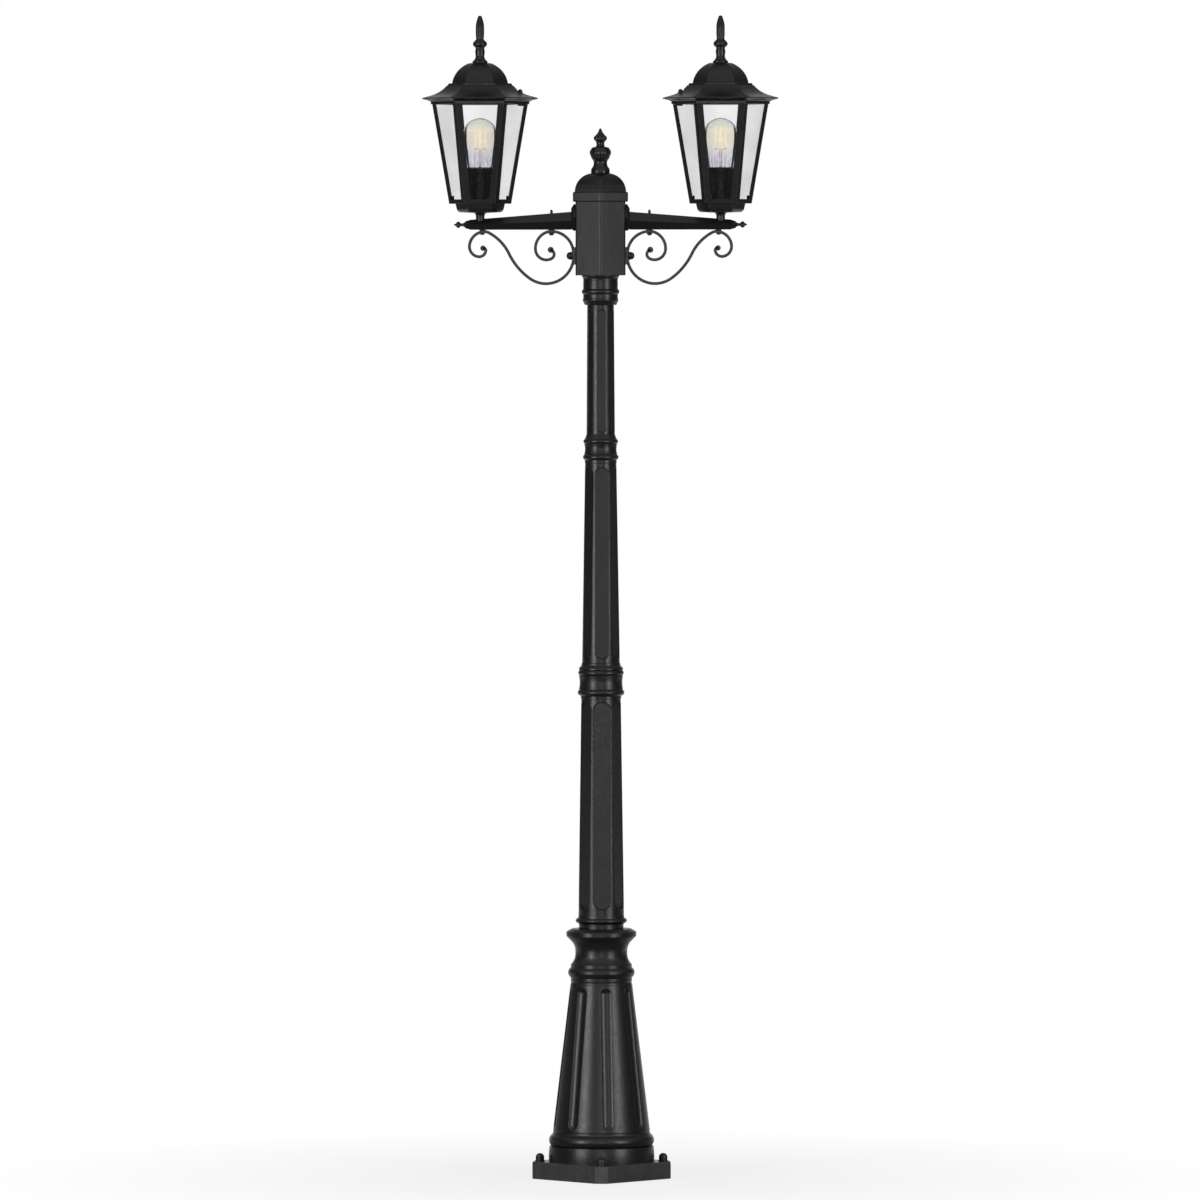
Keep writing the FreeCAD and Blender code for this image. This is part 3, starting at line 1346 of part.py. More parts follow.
def build_lamp(side, turn, x):
    """Lamp holder with its sleeve and socket, and the bulb."""
    holder = new_body(f"lamp_holder_{side}")
    radius, wall, disc = size.holder_radius, size.holder_wall, size.holder_disc
    hole = size.stem_radius + size.fit_gap
    height = size.holder_height
    turn_on(holder, [
        (hole, 0), (radius, 0), (radius, height - wall * 2), (radius + wall * 0.2, height - wall),
        (radius, height), (radius - wall, height), (radius - wall, disc), (hole, disc)])
    z = cage_z + size.cage_floor
    place(holder, x, z=z, turn=turn)
    keep(holder, f"lamp_holder_{side}")

    socket = new_body(f"lamp_socket_{side}")
    shell = size.bulb_cap_radius + size.fit_gap
    nut_room = size.stem_nut_across * 0.7
    floor = size.socket_floor
    turn_on(socket, [
        (nut_room, 0), (size.socket_radius, 0), (size.socket_radius, size.socket_height),
        (shell, size.socket_height), (shell, floor), (0, floor), (0, floor * 0.7),
        (nut_room, floor * 0.7)])
    place(socket, x, z=z + disc, turn=turn)
    keep(socket, f"lamp_socket_{side}")

    cap_z = z + disc + floor + size.fit_gap
    cap = new_body(f"bulb_cap_{side}")
    rim = size.bulb_cap_radius
    turn_on(cap, [
        (0, 0), (rim * 0.4, 0), (rim * 0.4, size.bulb_cap_height * 0.08),
        (rim * 0.9, size.bulb_cap_height * 0.2), (rim, size.bulb_cap_height * 0.25),
        (rim, size.bulb_cap_height), (0, size.bulb_cap_height)])
    place(cap, x, z=cap_z, turn=turn)
    keep(cap, f"bulb_cap_{side}")

    glass = new_body(f"bulb_glass_{side}")
    outside = moulding(BULB_SHARES, size.bulb_radius, size.bulb_height)
    skin = size.bulb_wall
    inside = [(corner[0] - skin, corner[1], *corner[2:]) for corner in outside[:-1]]
    inside.append((outside[-1][0], size.bulb_height - skin))
    outside.append((0, size.bulb_height))
    backward = [(0, size.bulb_height - skin)]
    for index in reversed(range(len(inside))):
        bulge = inside[index - 1][2:] if index else ()
        backward.append((*inside[index][:2], *(-share for share in bulge)))
    turn_on(glass, outside + backward)
    place(glass, x, z=cap_z + size.bulb_cap_height, turn=turn)
    keep(glass, f"bulb_glass_{side}")

    wires = new_body(f"bulb_filament_turning_{side}")
    post = size.bulb_post_radius
    rise = size.bulb_post_height
    circle = size.filament_circle_radius
    thin = size.filament_radius
    tip = rise + size.filament_height
    turn_on(wires, [
        (0, 0), (post * 1.8, 0, -0.1), (post * 0.6, rise * 0.5), (post * 0.6, rise),
        (circle + thin * 2, rise), (circle + thin * 2, rise + thin * 2), (0, rise + thin * 2)])
    boss_up(wires, circle, [
        (0, rise), (thin, rise), (thin, tip), (0, tip)])
    repeat(wires, wires.Tip, size.filament_count)
    place(wires, x, z=cap_z + size.bulb_cap_height, turn=turn)
    keep(wires, f"bulb_filaments_{side}")


def build_roof(side, turn, x):
    """Lantern roof with an ogee eave and a dome, its finial, stud and nut."""
    radius, height, wall = size.roof_radius, size.roof_height, size.roof_wall
    lip = (size.cage_ring_bore_radius - size.fit_gap * 2) * APOTHEM_SHARE
    lip_z = -size.roof_lip_depth
    outside = [(lip, lip_z), (lip, 0), *moulding(ROOF_SHARES, radius * APOTHEM_SHARE, height)]
    hollow = [
        ((radius * corner[0] - wall) * APOTHEM_SHARE, height * corner[1] - wall, *corner[2:])
        for corner in ROOF_INSIDE_SHARES
    ]
    inside = [(hollow[0][0], lip_z - size.overrun), *hollow]
    stud_x = -size.roof_stud_place
    seat = size.roof_nut_seat
    shell = cut(
        f"roof_shell_{side}", hex_moulding(f"roof_outside_{side}", outside, 30),
        hex_moulding(f"roof_inside_{side}", inside, 30),
        rod(f"roof_lug_room_{side}", size.roof_lug_radius + size.fit_gap * 3,
            size.roof_lip_depth + size.overrun, stud_x, z=lip_z - size.overrun))
    column = fused(
        f"roof_solid_{side}", shell,
        rod(f"roof_column_{side}", size.roof_lug_radius, seat, stud_x))
    roof = cut(
        f"roof_{side}", column,
        rod(f"roof_stud_hole_{side}", size.roof_stud_radius + size.fit_gap, height, stud_x),
        rod(f"roof_nut_room_{side}", size.roof_nut_room, height, stud_x, z=seat),
        rod(f"roof_finial_hole_{side}", size.finial_spigot_radius + size.thread_gap, height,
            z=height / 2))
    place(roof, x, z=roof_z, turn=turn)
    keep(roof, f"roof_{side}")

    finial = new_body(f"roof_finial_{side}")
    turn_on(finial, [
        (0, -size.finial_spigot_length), (size.finial_spigot_radius, -size.finial_spigot_length),
        (size.finial_spigot_radius, 0),
        *moulding(ROOF_FINIAL_SHARES, size.roof_finial_radius, size.roof_finial_height),
    ])
    place(finial, x, z=roof_z + height, turn=turn)
    keep(finial, f"roof_finial_{side}")

    outward = 1 if side == "right" else -1
    stud = new_body(f"roof_stud_{side}")
    low = -size.roof_lug_height
    top = seat + size.roof_stud_grip
    turn_on(stud, [
        (0, low), (size.roof_stud_radius, low), (size.roof_stud_radius, top - size.fit_gap),
        (size.roof_stud_radius * 0.8, top), (0, top)])
    place(stud, x + stud_x * outward, z=roof_z, turn=turn)
    keep(stud, f"roof_stud_{side}")

    nut = hex_nut(
        f"roof_nut_{side}", size.roof_nut_across, size.roof_nut_height,
        size.roof_stud_radius + size.thread_gap, x + stud_x * outward, z=roof_z + seat,
        domed_share=0.45, depth_share=0.88)
    keep(nut, f"roof_nut_{side}")


build_base()
build_post()
build_head()
for side, turn, x in (("right", 0, size.arm_reach), ("left", 180, -size.arm_reach)):
    build_arm(side, turn)
    build_scroll(side, turn)
    build_tray(side, turn, x)
    build_cage(side, turn, x)
    build_lamp(side, turn, x)
    build_roof(side, turn, x)

doc.recompute()
for item in doc.Objects:
    broken = [word for word in item.State if word in ("Invalid", "Error")]
    if broken:
        raise RuntimeError(f"{item.Label} is {broken[0]}")
os.makedirs("parts", exist_ok=True)
for name, item in nodes.items():
    shape = item.Shape
    if shape.isNull() or not shape.isValid():
        raise RuntimeError(f"{name} has no valid shape")
    shape.exportStep(f"parts/{name}.step")
    box = shape.BoundBox
    print(
        f"{name}: {len(shape.Solids)} solid(s), z {box.ZMin:.1f} to {box.ZMax:.1f},"
        f" volume {shape.Volume:.0f}")
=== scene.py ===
import logging
from dataclasses import dataclass
from enum import Enum
from typing import ClassVar

import bmesh
import bpy
import numpy as np
from mathutils import Matrix, Vector


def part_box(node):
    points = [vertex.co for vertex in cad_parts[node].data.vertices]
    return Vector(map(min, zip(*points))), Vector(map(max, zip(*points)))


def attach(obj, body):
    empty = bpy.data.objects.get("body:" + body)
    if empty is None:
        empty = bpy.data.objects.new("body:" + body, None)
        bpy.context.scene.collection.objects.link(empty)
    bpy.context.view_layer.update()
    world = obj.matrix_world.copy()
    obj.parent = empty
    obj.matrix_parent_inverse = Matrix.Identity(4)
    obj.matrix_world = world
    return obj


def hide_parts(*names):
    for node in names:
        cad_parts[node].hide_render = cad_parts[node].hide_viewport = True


Array = np.ndarray
Corner = tuple[float, ...]
Corners = tuple[Corner, ...]
Colour = tuple[float, float, float]
Socket = bpy.types.NodeSocket
Inputs = dict[str | int, float | Corner | Socket]

# One millimetre in metres, and the distance in metres at which points merge
MM = 0.001
BOND = 2e-6
# Least length that anything is divided by
TINY = 1e-9
# Degrees between the points of an arc
ARC_STEP = 7.0
# Corners that turn less than the first stay sharp, and the second caps their softening
BLUNT_TURN = 0.14
STEEP_TURN = 2.8
# Angles between faces: merged as flat below the first, beveled and sharp above the others
FLAT_EDGE = np.radians(0.4)
BEVEL_EDGE = np.radians(28)
SHARP_EDGE = np.radians(38)
TAU = 2 * np.pi
COS30 = np.cos(np.pi / 6)
# Place of the lanterns along X, and the height that arms and brackets are placed at
LANTERN_X = 222.0
ARM_Z = 1755.0

log = logging.getLogger("lamp_post")
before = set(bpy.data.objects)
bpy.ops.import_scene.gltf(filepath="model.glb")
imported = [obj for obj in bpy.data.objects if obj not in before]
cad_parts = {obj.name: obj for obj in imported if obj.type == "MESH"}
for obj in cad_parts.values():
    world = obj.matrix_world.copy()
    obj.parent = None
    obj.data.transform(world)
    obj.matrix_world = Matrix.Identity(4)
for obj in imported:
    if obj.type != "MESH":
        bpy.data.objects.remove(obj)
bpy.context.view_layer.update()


class Slot(Enum):
    """Material slots of the record."""

    CASTING = "black_casting"
    STEEL = "black_steel"
    ZINC = "zinc_steel"
    PANE = "pane_glass"
    BULB = "bulb_glass"
    CAP = "bulb_cap_metal"
    FILAMENT = "filament"
    SOCKET = "socket_ceramic"
    TERMINAL = "terminal_plastic"


class Side(Enum):
    """The two lanterns; the value is the way out from the post along X."""

    RIGHT = 1
    LEFT = -1

    @property
    def word(self) -> str:
        """Name of the side as the CAD nodes spell it."""
        return self.name.lower()


class Floor(Enum):
    """Bottom of a flute: cut flat across, or hollowed round."""

    FLAT = "flat"
    ROUND = "round"


# Finishes


class Wiring:
    """Shader nodes of one tree, laid out as they are asked for."""

    def __init__(self, tree: bpy.types.NodeTree) -> None:
        """Clears a tree and adds its coordinates.

        Args:
            tree: Node tree of a material or of the world.
        """
        self.tree = tree
        self.tree.nodes.clear()
        self.places = self.add("TexCoord").outputs

    def fill(self, node: bpy.types.Node, inputs: Inputs) -> None:
        """Feeds a node.

        Args:
            node: The node.
            inputs: A value to set or a socket to link, for each input's name or number.
        """
        for name, value in inputs.items():
            if isinstance(value, Socket):
                self.tree.links.new(value, node.inputs[name])
            else:
                node.inputs[name].default_value = value

    def add(self, kind: str, inputs: Inputs | None = None) -> bpy.types.Node:
        """Adds a node and feeds it.

        Args:
            kind: Its kind, such as Math.
            inputs: What it is fed.

        Returns:
            The node.
        """
        node = self.tree.nodes.new(f"ShaderNode{kind}")
        self.fill(node, inputs or {})
        return node

    def axes(self, place: str) -> bpy.types.bpy_prop_collection:
        """X, Y and Z of a kind of coordinates, such as Object."""
        return self.add("SeparateXYZ", {0: self.places[place]}).outputs

    def noise(self, size: float, detail: float = 2.0, stretch: Corner = (1, 1, 1)) -> Socket:
        """Noise in the object's own metres.

        Args:
            size: Width of one blotch in metres.
            detail: Octaves of finer noise.
            stretch: Scale along each axis.

        Returns:
            Its value.
        """
        place = self.add("Mapping", {"Vector": self.places["Object"], "Scale": stretch})
        return self.add("TexNoise", {
            "Vector": place.outputs[0], "Scale": 1 / size, "Detail": detail}).outputs[0]

    def span(self, source: Socket, low: float, high: float, start: float = 0.3,
             end: float = 0.7) -> Socket:
        """Maps a value from start..end to low..high.

        Args:
            source: The value.
            low: What start becomes.
            high: What end becomes.
            start: Where the range begins.
            end: Where it ends.

        Returns:
            The mapped value.
        """
        return self.add("MapRange", {
            "Value": source, "From Min": start, "From Max": end, "To Min": low,
            "To Max": high}).outputs[0]

    def ramp(self, source: Socket, stops: tuple[tuple[float, Colour], ...]) -> Socket:
        """Colours a value.

        Args:
            source: The value.
            stops: Place and colour of each stop.

        Returns:
            The colour.
        """
        node = self.add("ValToRGB", {"Fac": source})
        for stop, (spot, colour) in zip(node.color_ramp.elements, (stops[0], stops[-1])):
            stop.position = spot
            stop.color = (*colour, 1)
        for spot, colour in stops[1:-1]:
            node.color_ramp.elements.new(spot).color = (*colour, 1)
        return node.outputs["Color"]

    def mottled(self, source: Socket, colour: Colour, share: float) -> Socket:
        """Drifts between a share of a colour and the colour."""
        shade = tuple(part * share for part in colour)
        return self.ramp(source, ((0.35, shade), (0.65, colour)))

    def blend(self, share: Socket, first: Socket, second: Socket, kind: str = "MIX") -> Socket:
        """Blends two colours.

        Args:
            share: Share of the second colour.
            first: The first colour.
            second: The second colour.
            kind: Way of blending, such as MULTIPLY.

        Returns:
            The colour.
        """
        node = self.add("Mix")
        node.data_type = "RGBA"
        node.blend_type = kind
        self.fill(node, {0: share, 6: first, 7: second})
        return node.outputs[2]

    def relief(self, source: Socket, height: float, under: Socket | None = None) -> Socket:
        """Bump of a height in metres, laid over another bump if one is given."""
        inputs = {"Distance": height, "Height": source} | ({"Normal": under} if under else {})
        return self.add("Bump", inputs).outputs[0]

    def pair(self, action: str, first: Socket, second: Socket) -> Socket:
        """Joins two values.

        Args:
            action: Arithmetic action, such as MULTIPLY.
            first: The first value.
            second: The second value.

        Returns:
            The result.
        """
        node = self.add("Math", {0: first, 1: second})
        node.operation = action
        return node.outputs[0]


@dataclass(frozen=True)
class Finish:
    """A material and the slot of the record that it stands for."""

    material: bpy.types.Material
    slot: Slot

    def put_on(self, mesh: bpy.types.Mesh) -> None:
        """Makes the material a mesh's only one."""
        mesh.materials.clear()
        mesh.materials.append(self.material)


class Bench(Wiring):
    """Wiring of one material round a Principled shader."""

    def __init__(self, name: str) -> None:
        """Starts a material.

        Args:
            name: Its name.
        """
        self.material = bpy.data.materials.new(name)
        self.material.use_nodes = True
        super().__init__(self.material.node_tree)
        self.shader = self.add("BsdfPrincipled")
        self.output = self.add("OutputMaterial", {"Surface": self.shader.outputs["BSDF"]})

    def finish(self, slot: Slot, inputs: Inputs) -> Finish:
        """Feeds the shader and gives the finish for a slot."""
        self.fill(self.shader, inputs)
        return Finish(self.material, slot)


@dataclass(frozen=True)
class PowderCoat:
    """Satin powder coat: a near black film with fine orange peel over uneven metal."""

    name: str
    slot: Slot = Slot.CASTING
    colour: float = 0.0048
    spread: float = 0.15
    roughness: float = 0.33
    gloss: float = 0.3
    peel_size: float = 0.0016
    peel_height: float = 0.00005
    cast_size: float = 0.022
    cast_height: float = 0.0003
    # Grey painted on the foot as painted light, and the height in metres that it reaches
    dust: float = 0.0
    dust_top: float = 0.034

    def make(self) -> Finish:
        """Colour and roughness drift with noise and the bump has two sizes.

        If asked, a paler grey is painted on up to a given height in metres above the ground: painted
        light on the foot.

        Returns:
            The finish.
        """
        bench = Bench(self.name)
        dark, pale = self.colour * (1 - self.spread), self.colour * (1 + self.spread)
        tone = bench.ramp(bench.noise(0.09, 4), (
            (0.3, (dark, dark, dark * 1.03)), (0.7, (pale, pale * 1.01, pale * 1.05))))
        # Painted light: the foot is made a paler grey below the set height.
        if self.dust:
            painted_light_grey = bench.ramp(bench.noise(0.012, 4, (1, 1, 0.4)), (
                (0.3, (self.dust * 0.7,) * 3), (0.7, (self.dust,) * 3)))
            height = bench.axes("Object")["Z"]
            low = bench.span(height, 1, 0, self.dust_top - 0.003, self.dust_top)
            tone = bench.blend(low, tone, painted_light_grey)
        cast = bench.relief(bench.noise(self.cast_size, 3), self.cast_height)
        return bench.finish(self.slot, {
            "Base Color": tone,
            "Roughness": bench.span(
                bench.noise(0.006, 5), self.roughness - 0.05, self.roughness + 0.06),
            "Normal": bench.relief(bench.noise(self.peel_size, 2), self.peel_height, cast),
            "Specular IOR Level": self.gloss})


@dataclass(frozen=True)
class BareMetal:
    """Plated or turned metal with fine marks round it."""

    name: str
    slot: Slot
    colour: Colour
    roughness: float = 0.3

    def make(self) -> Finish:
        """Stretched noise drives roughness, tone and a shallow bump.

        Returns:
            The finish.
        """
        bench = Bench(self.name)
        marks = bench.noise(0.0012, 3, (1, 1, 6))
        return bench.finish(self.slot, {
            "Base Color": bench.mottled(marks, self.colour, 0.8),
            "Roughness": bench.span(marks, self.roughness * 0.8, self.roughness * 1.3),
            "Normal": bench.relief(marks, 0.00003), "Metallic": 1.0})


@dataclass(frozen=True)
class ClearGlass:
    """Clear glass with a slight tint and faint ripples."""

    name: str
    slot: Slot
    tint: Colour
    ripple_size: float
    ripple_height: float = 0.00003
    roughness: float = 0.0
    haze: float = 0.965
    bending: float = 1.47

    def make(self) -> Finish:
        """Full transmission; the same broad noise drives the tint and the ripples.

        Returns:
            The finish.
        """
        bench = Bench(self.name)
        broad = bench.noise(self.ripple_size, 2)
        return bench.finish(self.slot, {
            "Base Color": bench.mottled(broad, self.tint, self.haze),
            "Normal": bench.relief(broad, self.ripple_height), "Transmission Weight": 1.0,
            "Roughness": self.roughness, "IOR": self.bending})


@dataclass(frozen=True)
class LampGlass:
    """Bulb glass whose tint follows its height: painted lilac shade in streaks below, and a painted
    cream glow round the filaments.
    """

    name: str
    slot: Slot
    foot: float = 1.87
    crown: float = 1.96

    # Tints up the bulb; the cream stops paint the filaments' glow on the glass.
    BANDS: ClassVar = (
        (0.0, (0.965, 0.95, 0.985)), (0.25, (0.965, 0.95, 0.98)), (0.5, (0.99, 0.97, 0.915)),
        (0.75, (1.0, 0.975, 0.9)), (1.0, (0.94, 0.965, 0.95)))

    def make(self) -> Finish:
        """A ramp along Z with the painted glow, darkened below by painted shade in noise drawn out
        along Z.

        Returns:
            The finish.
        """
        bench = Bench(self.name)
        height = bench.span(bench.axes("Object")["Z"], 0, 1, self.foot, self.crown)
        # Painted shade: streaks that darken the lower bulb.
        painted_shade_streaks = bench.ramp(
            bench.noise(0.0026, 1, (1, 1, 0.1)), ((0.42, (0.76, 0.74, 0.8)), (0.58, (1, 1, 1))))
        return bench.finish(self.slot, {
            "Base Color": bench.blend(
                bench.span(height, 1, 0, 0.12, 0.42), bench.ramp(height, self.BANDS), painted_shade_streaks,
                "MULTIPLY"),
            "Normal": bench.relief(bench.noise(0.03, 2), 0.00001), "Transmission Weight": 1.0,
            "Roughness": 0.0, "IOR": 1.47})


@dataclass(frozen=True)
class Moulded:
    """Plain moulded or fired material with a soft mottle."""

    name: str
    slot: Slot
    colour: Colour
    roughness: float

    def make(self) -> Finish:
        """Noise drives a small change of tone, roughness and bump.

        Returns:
            The finish.
        """
        bench = Bench(self.name)
        grain = bench.noise(0.002, 4)
        return bench.finish(self.slot, {
            "Base Color": bench.mottled(grain, self.colour, 0.9),
            "Roughness": bench.span(grain, self.roughness - 0.06, self.roughness + 0.06),
            "Normal": bench.relief(grain, 0.00004)})


@dataclass(frozen=True)
class FilamentCoat:
    """Yellow coat of an LED filament, faintly lit."""

    name: str
    slot: Slot
    colour: Colour = (1.0, 0.84, 0.5)
    glow: float = 1.0

    def make(self) -> Finish:
        """Grainy yellow that gives off a little warm light.

        Returns:
            The finish.
        """
        bench = Bench(self.name)
        grain = bench.noise(0.0008, 3)
        tone = bench.mottled(grain, self.colour, 0.85)
        return bench.finish(self.slot, {
            "Base Color": tone, "Emission Color": tone, "Emission Strength": self.glow,
            "Normal": bench.relief(grain, 0.00003), "Roughness": 0.6})


class Finishes:
    """Every finish of the lamp post, made once."""

    def __init__(self) -> None:
        """Makes the materials."""
        self.casting = PowderCoat("black_powder_coat").make()
        # The base's coat carries painted light on its foot.
        self.base = PowderCoat("black_base_coat", dust=0.042).make()
        self.arm = PowderCoat("black_arm_coat", cast_height=0.00018).make()
        self.steel = PowderCoat(
            "black_steel_coat", Slot.STEEL, colour=0.008, roughness=0.32, cast_height=0.00008,
            peel_height=0.00003).make()
        self.sleeve = PowderCoat(
            "black_sleeve_lacquer", colour=0.005, roughness=0.3, gloss=0.25,
            cast_height=0.00001, peel_height=0.00001).make()
        self.zinc = BareMetal("zinc_plate", Slot.ZINC, (0.62, 0.63, 0.64)).make()
        self.cap = BareMetal("nickel_screw_cap", Slot.CAP, (0.72, 0.71, 0.68), 0.22).make()
        self.pane = ClearGlass(
            "window_glass", Slot.PANE, (0.995, 0.99, 0.995), 0.07, roughness=0.01, haze=0.91,
            bending=1.4).make()
        self.bulb = LampGlass("lamp_glass", Slot.BULB).make()
        self.flare = ClearGlass(
            "flare_glass", Slot.BULB, (0.96, 0.97, 0.975), 0.01, 0.00002).make()
        self.filament = FilamentCoat("filament_coat", Slot.FILAMENT).make()
        self.ceramic = Moulded("white_ceramic", Slot.SOCKET, (0.78, 0.76, 0.71), 0.35).make()
        self.plastic = Moulded("cream_plastic", Slot.TERMINAL, (0.7, 0.68, 0.62), 0.5).make()


# Outlines and surfaces


def outline(corners: Corners, soften: float = 0.6, closed: bool = False) -> Array:
    """Points along straight edges and arcs, with sharp corners softened.

    An arc over a chord c with rise s * c has radius (1/4 + s^2) / 2s in chords, and is
    sampled at even angles. A sharp corner gives way to a quadratic curve whose ends lie
    soften * tan(turn / 2) back along both edges.

    Args:
        corners: (x, y) or (x, y, bulge); the bulge is the rise of the arc to the next
            corner as a share of its chord, positive to the right of the way along.
        soften: Radius of the softened corners in millimetres.
        closed: Whether the last corner joins the first.

    Returns:
        Array of points (n, 2) in millimetres.
    """
    spots, sharp = [], []
    following = corners[1:] + corners[:1]
    for index, (corner, after) in enumerate(zip(corners, following)):
        start, end = np.array(corner[:2], float), np.array(after[:2], float)
        spots.append(start[None])
        sharp.append([True])
        last = index == len(corners) - 1
        if len(corner) < 3 or (last and not closed):
            continue
        share, way = corner[2], end - start
        radius = (0.25 + share**2) / (2 * share)
        bend = 4 * np.arctan(2 * share)
        steps = max(3, int(np.ceil(abs(np.degrees(bend)) / ARC_STEP)))
        angle = np.linspace(-bend / 2, bend / 2, steps + 1)[1:-1, None]
        along, rise = 0.5 + radius * np.sin(angle), share - radius + radius * np.cos(angle)
        spots.append(start + way * along + np.array([way[1], -way[0]]) * rise)
        sharp.append([False] * (steps - 1))
    points, marked = np.concatenate(spots), np.array(sum(sharp, []))
    before, ahead = np.roll(points, 1, 0) - points, np.roll(points, -1, 0) - points
    back, fore = np.linalg.norm(before, axis=1), np.linalg.norm(ahead, axis=1)
    cosine = np.sum(before * ahead, axis=1) / np.maximum(back * fore, TINY)
    turn = np.pi - np.arccos(np.clip(cosine, -1, 1))
    bent = np.tan(np.minimum(turn, STEEP_TURN) / 2)
    reach = np.minimum(soften * bent, 0.4 * np.minimum(back, fore))
    if not closed:
        marked[[0, -1]] = False
    rounded = marked & (turn > BLUNT_TURN)
    reach = np.where(rounded, reach, 0)[:, None, None]
    t = np.linspace(0, 1, 4)[None, :, None]
    start = points[:, None] + before[:, None] / np.maximum(back, TINY)[:, None, None] * reach
    end = points[:, None] + ahead[:, None] / np.maximum(fore, TINY)[:, None, None] * reach
    curve = (1 - t) ** 2 * start + 2 * t * (1 - t) * points[:, None] + t**2 * end
    wanted = rounded[:, None] | (np.arange(4) == 0)[None]
    return curve[wanted]


def moulding(shares: Corners, radius: float, height: float, start: float = 0) -> Corners:
    """Corners of a moulding given as shares of its radius and height."""
    return tuple((radius * share, start + height * rise, *bulge) for share, rise, *bulge in shares)


def lathe(profile: Array, angles: Array) -> Array:
    """Turns a profile about Z: x = r cos(a), y = r sin(a), z = z.

    Args:
        profile: (n, 2) radii and heights.
        angles: (m,) angles of the columns.

    Returns:
        Grid (n, m, 3).
    """
    radius, height = profile[:, :1], profile[:, 1:]
    return np.stack(
        [radius * np.cos(angles), radius * np.sin(angles), height + 0 * angles], axis=-1)


def ring(columns: int) -> Array:
    """Even angles once round."""
    return np.arange(columns) * TAU / columns


def hexagon_lathe(profile: Array, turn: float, rounding: float = 1.4) -> Array:
    """Carries a profile round a hexagon with rounded corners.

    At apothem a the corner arc has radius q = min(rounding, a / 4) and its centre lies
    (a - q) / cos 30 from the axis; the sides between the arcs get three more points.

    Args:
        profile: (n, 2) apothems and heights.
        turn: Angle of the first corner in degrees.
        rounding: Corner radius in millimetres.

    Returns:
        Grid (n, 48, 3).
    """
    apothem, height = profile[:, 0][:, None, None], profile[:, 1][:, None, None]
    radius = np.minimum(rounding, apothem / 4)
    corner = (np.radians(turn) + np.arange(6) * np.pi / 3)[None, :, None]
    swing = np.radians(np.linspace(-30, 30, 5))[None, None, :]
    reach = (apothem - radius) / COS30
    x = reach * np.cos(corner) + radius * np.cos(corner + swing)
    y = reach * np.sin(corner) + radius * np.sin(corner + swing)
    next_x, next_y = np.roll(x[:, :, :1], -1, 1), np.roll(y[:, :, :1], -1, 1)
    share = np.array([0.12, 0.5, 0.88])[None, None, :]
    x = np.concatenate([x, x[:, :, -1:] + (next_x - x[:, :, -1:]) * share], axis=2)
    y = np.concatenate([y, y[:, :, -1:] + (next_y - y[:, :, -1:]) * share], axis=2)
    z = np.broadcast_to(height, x.shape)
    return np.stack([x, y, z], axis=-1).reshape(len(profile), 48, 3)


def rounded_loop(wide: float, high: float, rounding: float) -> Array:
    """Rectangle with quarter-round corners.

    Args:
        wide: Its size along the first axis.
        high: Its size along the second axis.
        rounding: Radius of the corners.

    Returns:
        Counter-clockwise loop (20, 2).
    """
    swing = np.radians(np.linspace(0, 90, 5))
    centres = np.array([[1, 1], [-1, 1], [-1, -1], [1, -1]]) * [
        wide / 2 - rounding, high / 2 - rounding]
    quarter = np.arange(4)[:, None] * np.pi / 2 + swing[None]
    arcs = np.stack([np.cos(quarter), np.sin(quarter)], axis=-1) * rounding
    return (centres[:, None] + arcs).reshape(20, 2)


def sweep(path: Array, normals: Array, binormal: Corner, loop: Array) -> Array:
    """Carries a loop along a path: point = path + u * normal + v * binormal."""
    side = np.array(binormal, float)
    return path[:, None] + loop[None, :, :1] * normals[:, None] + loop[None, :, 1:] * side


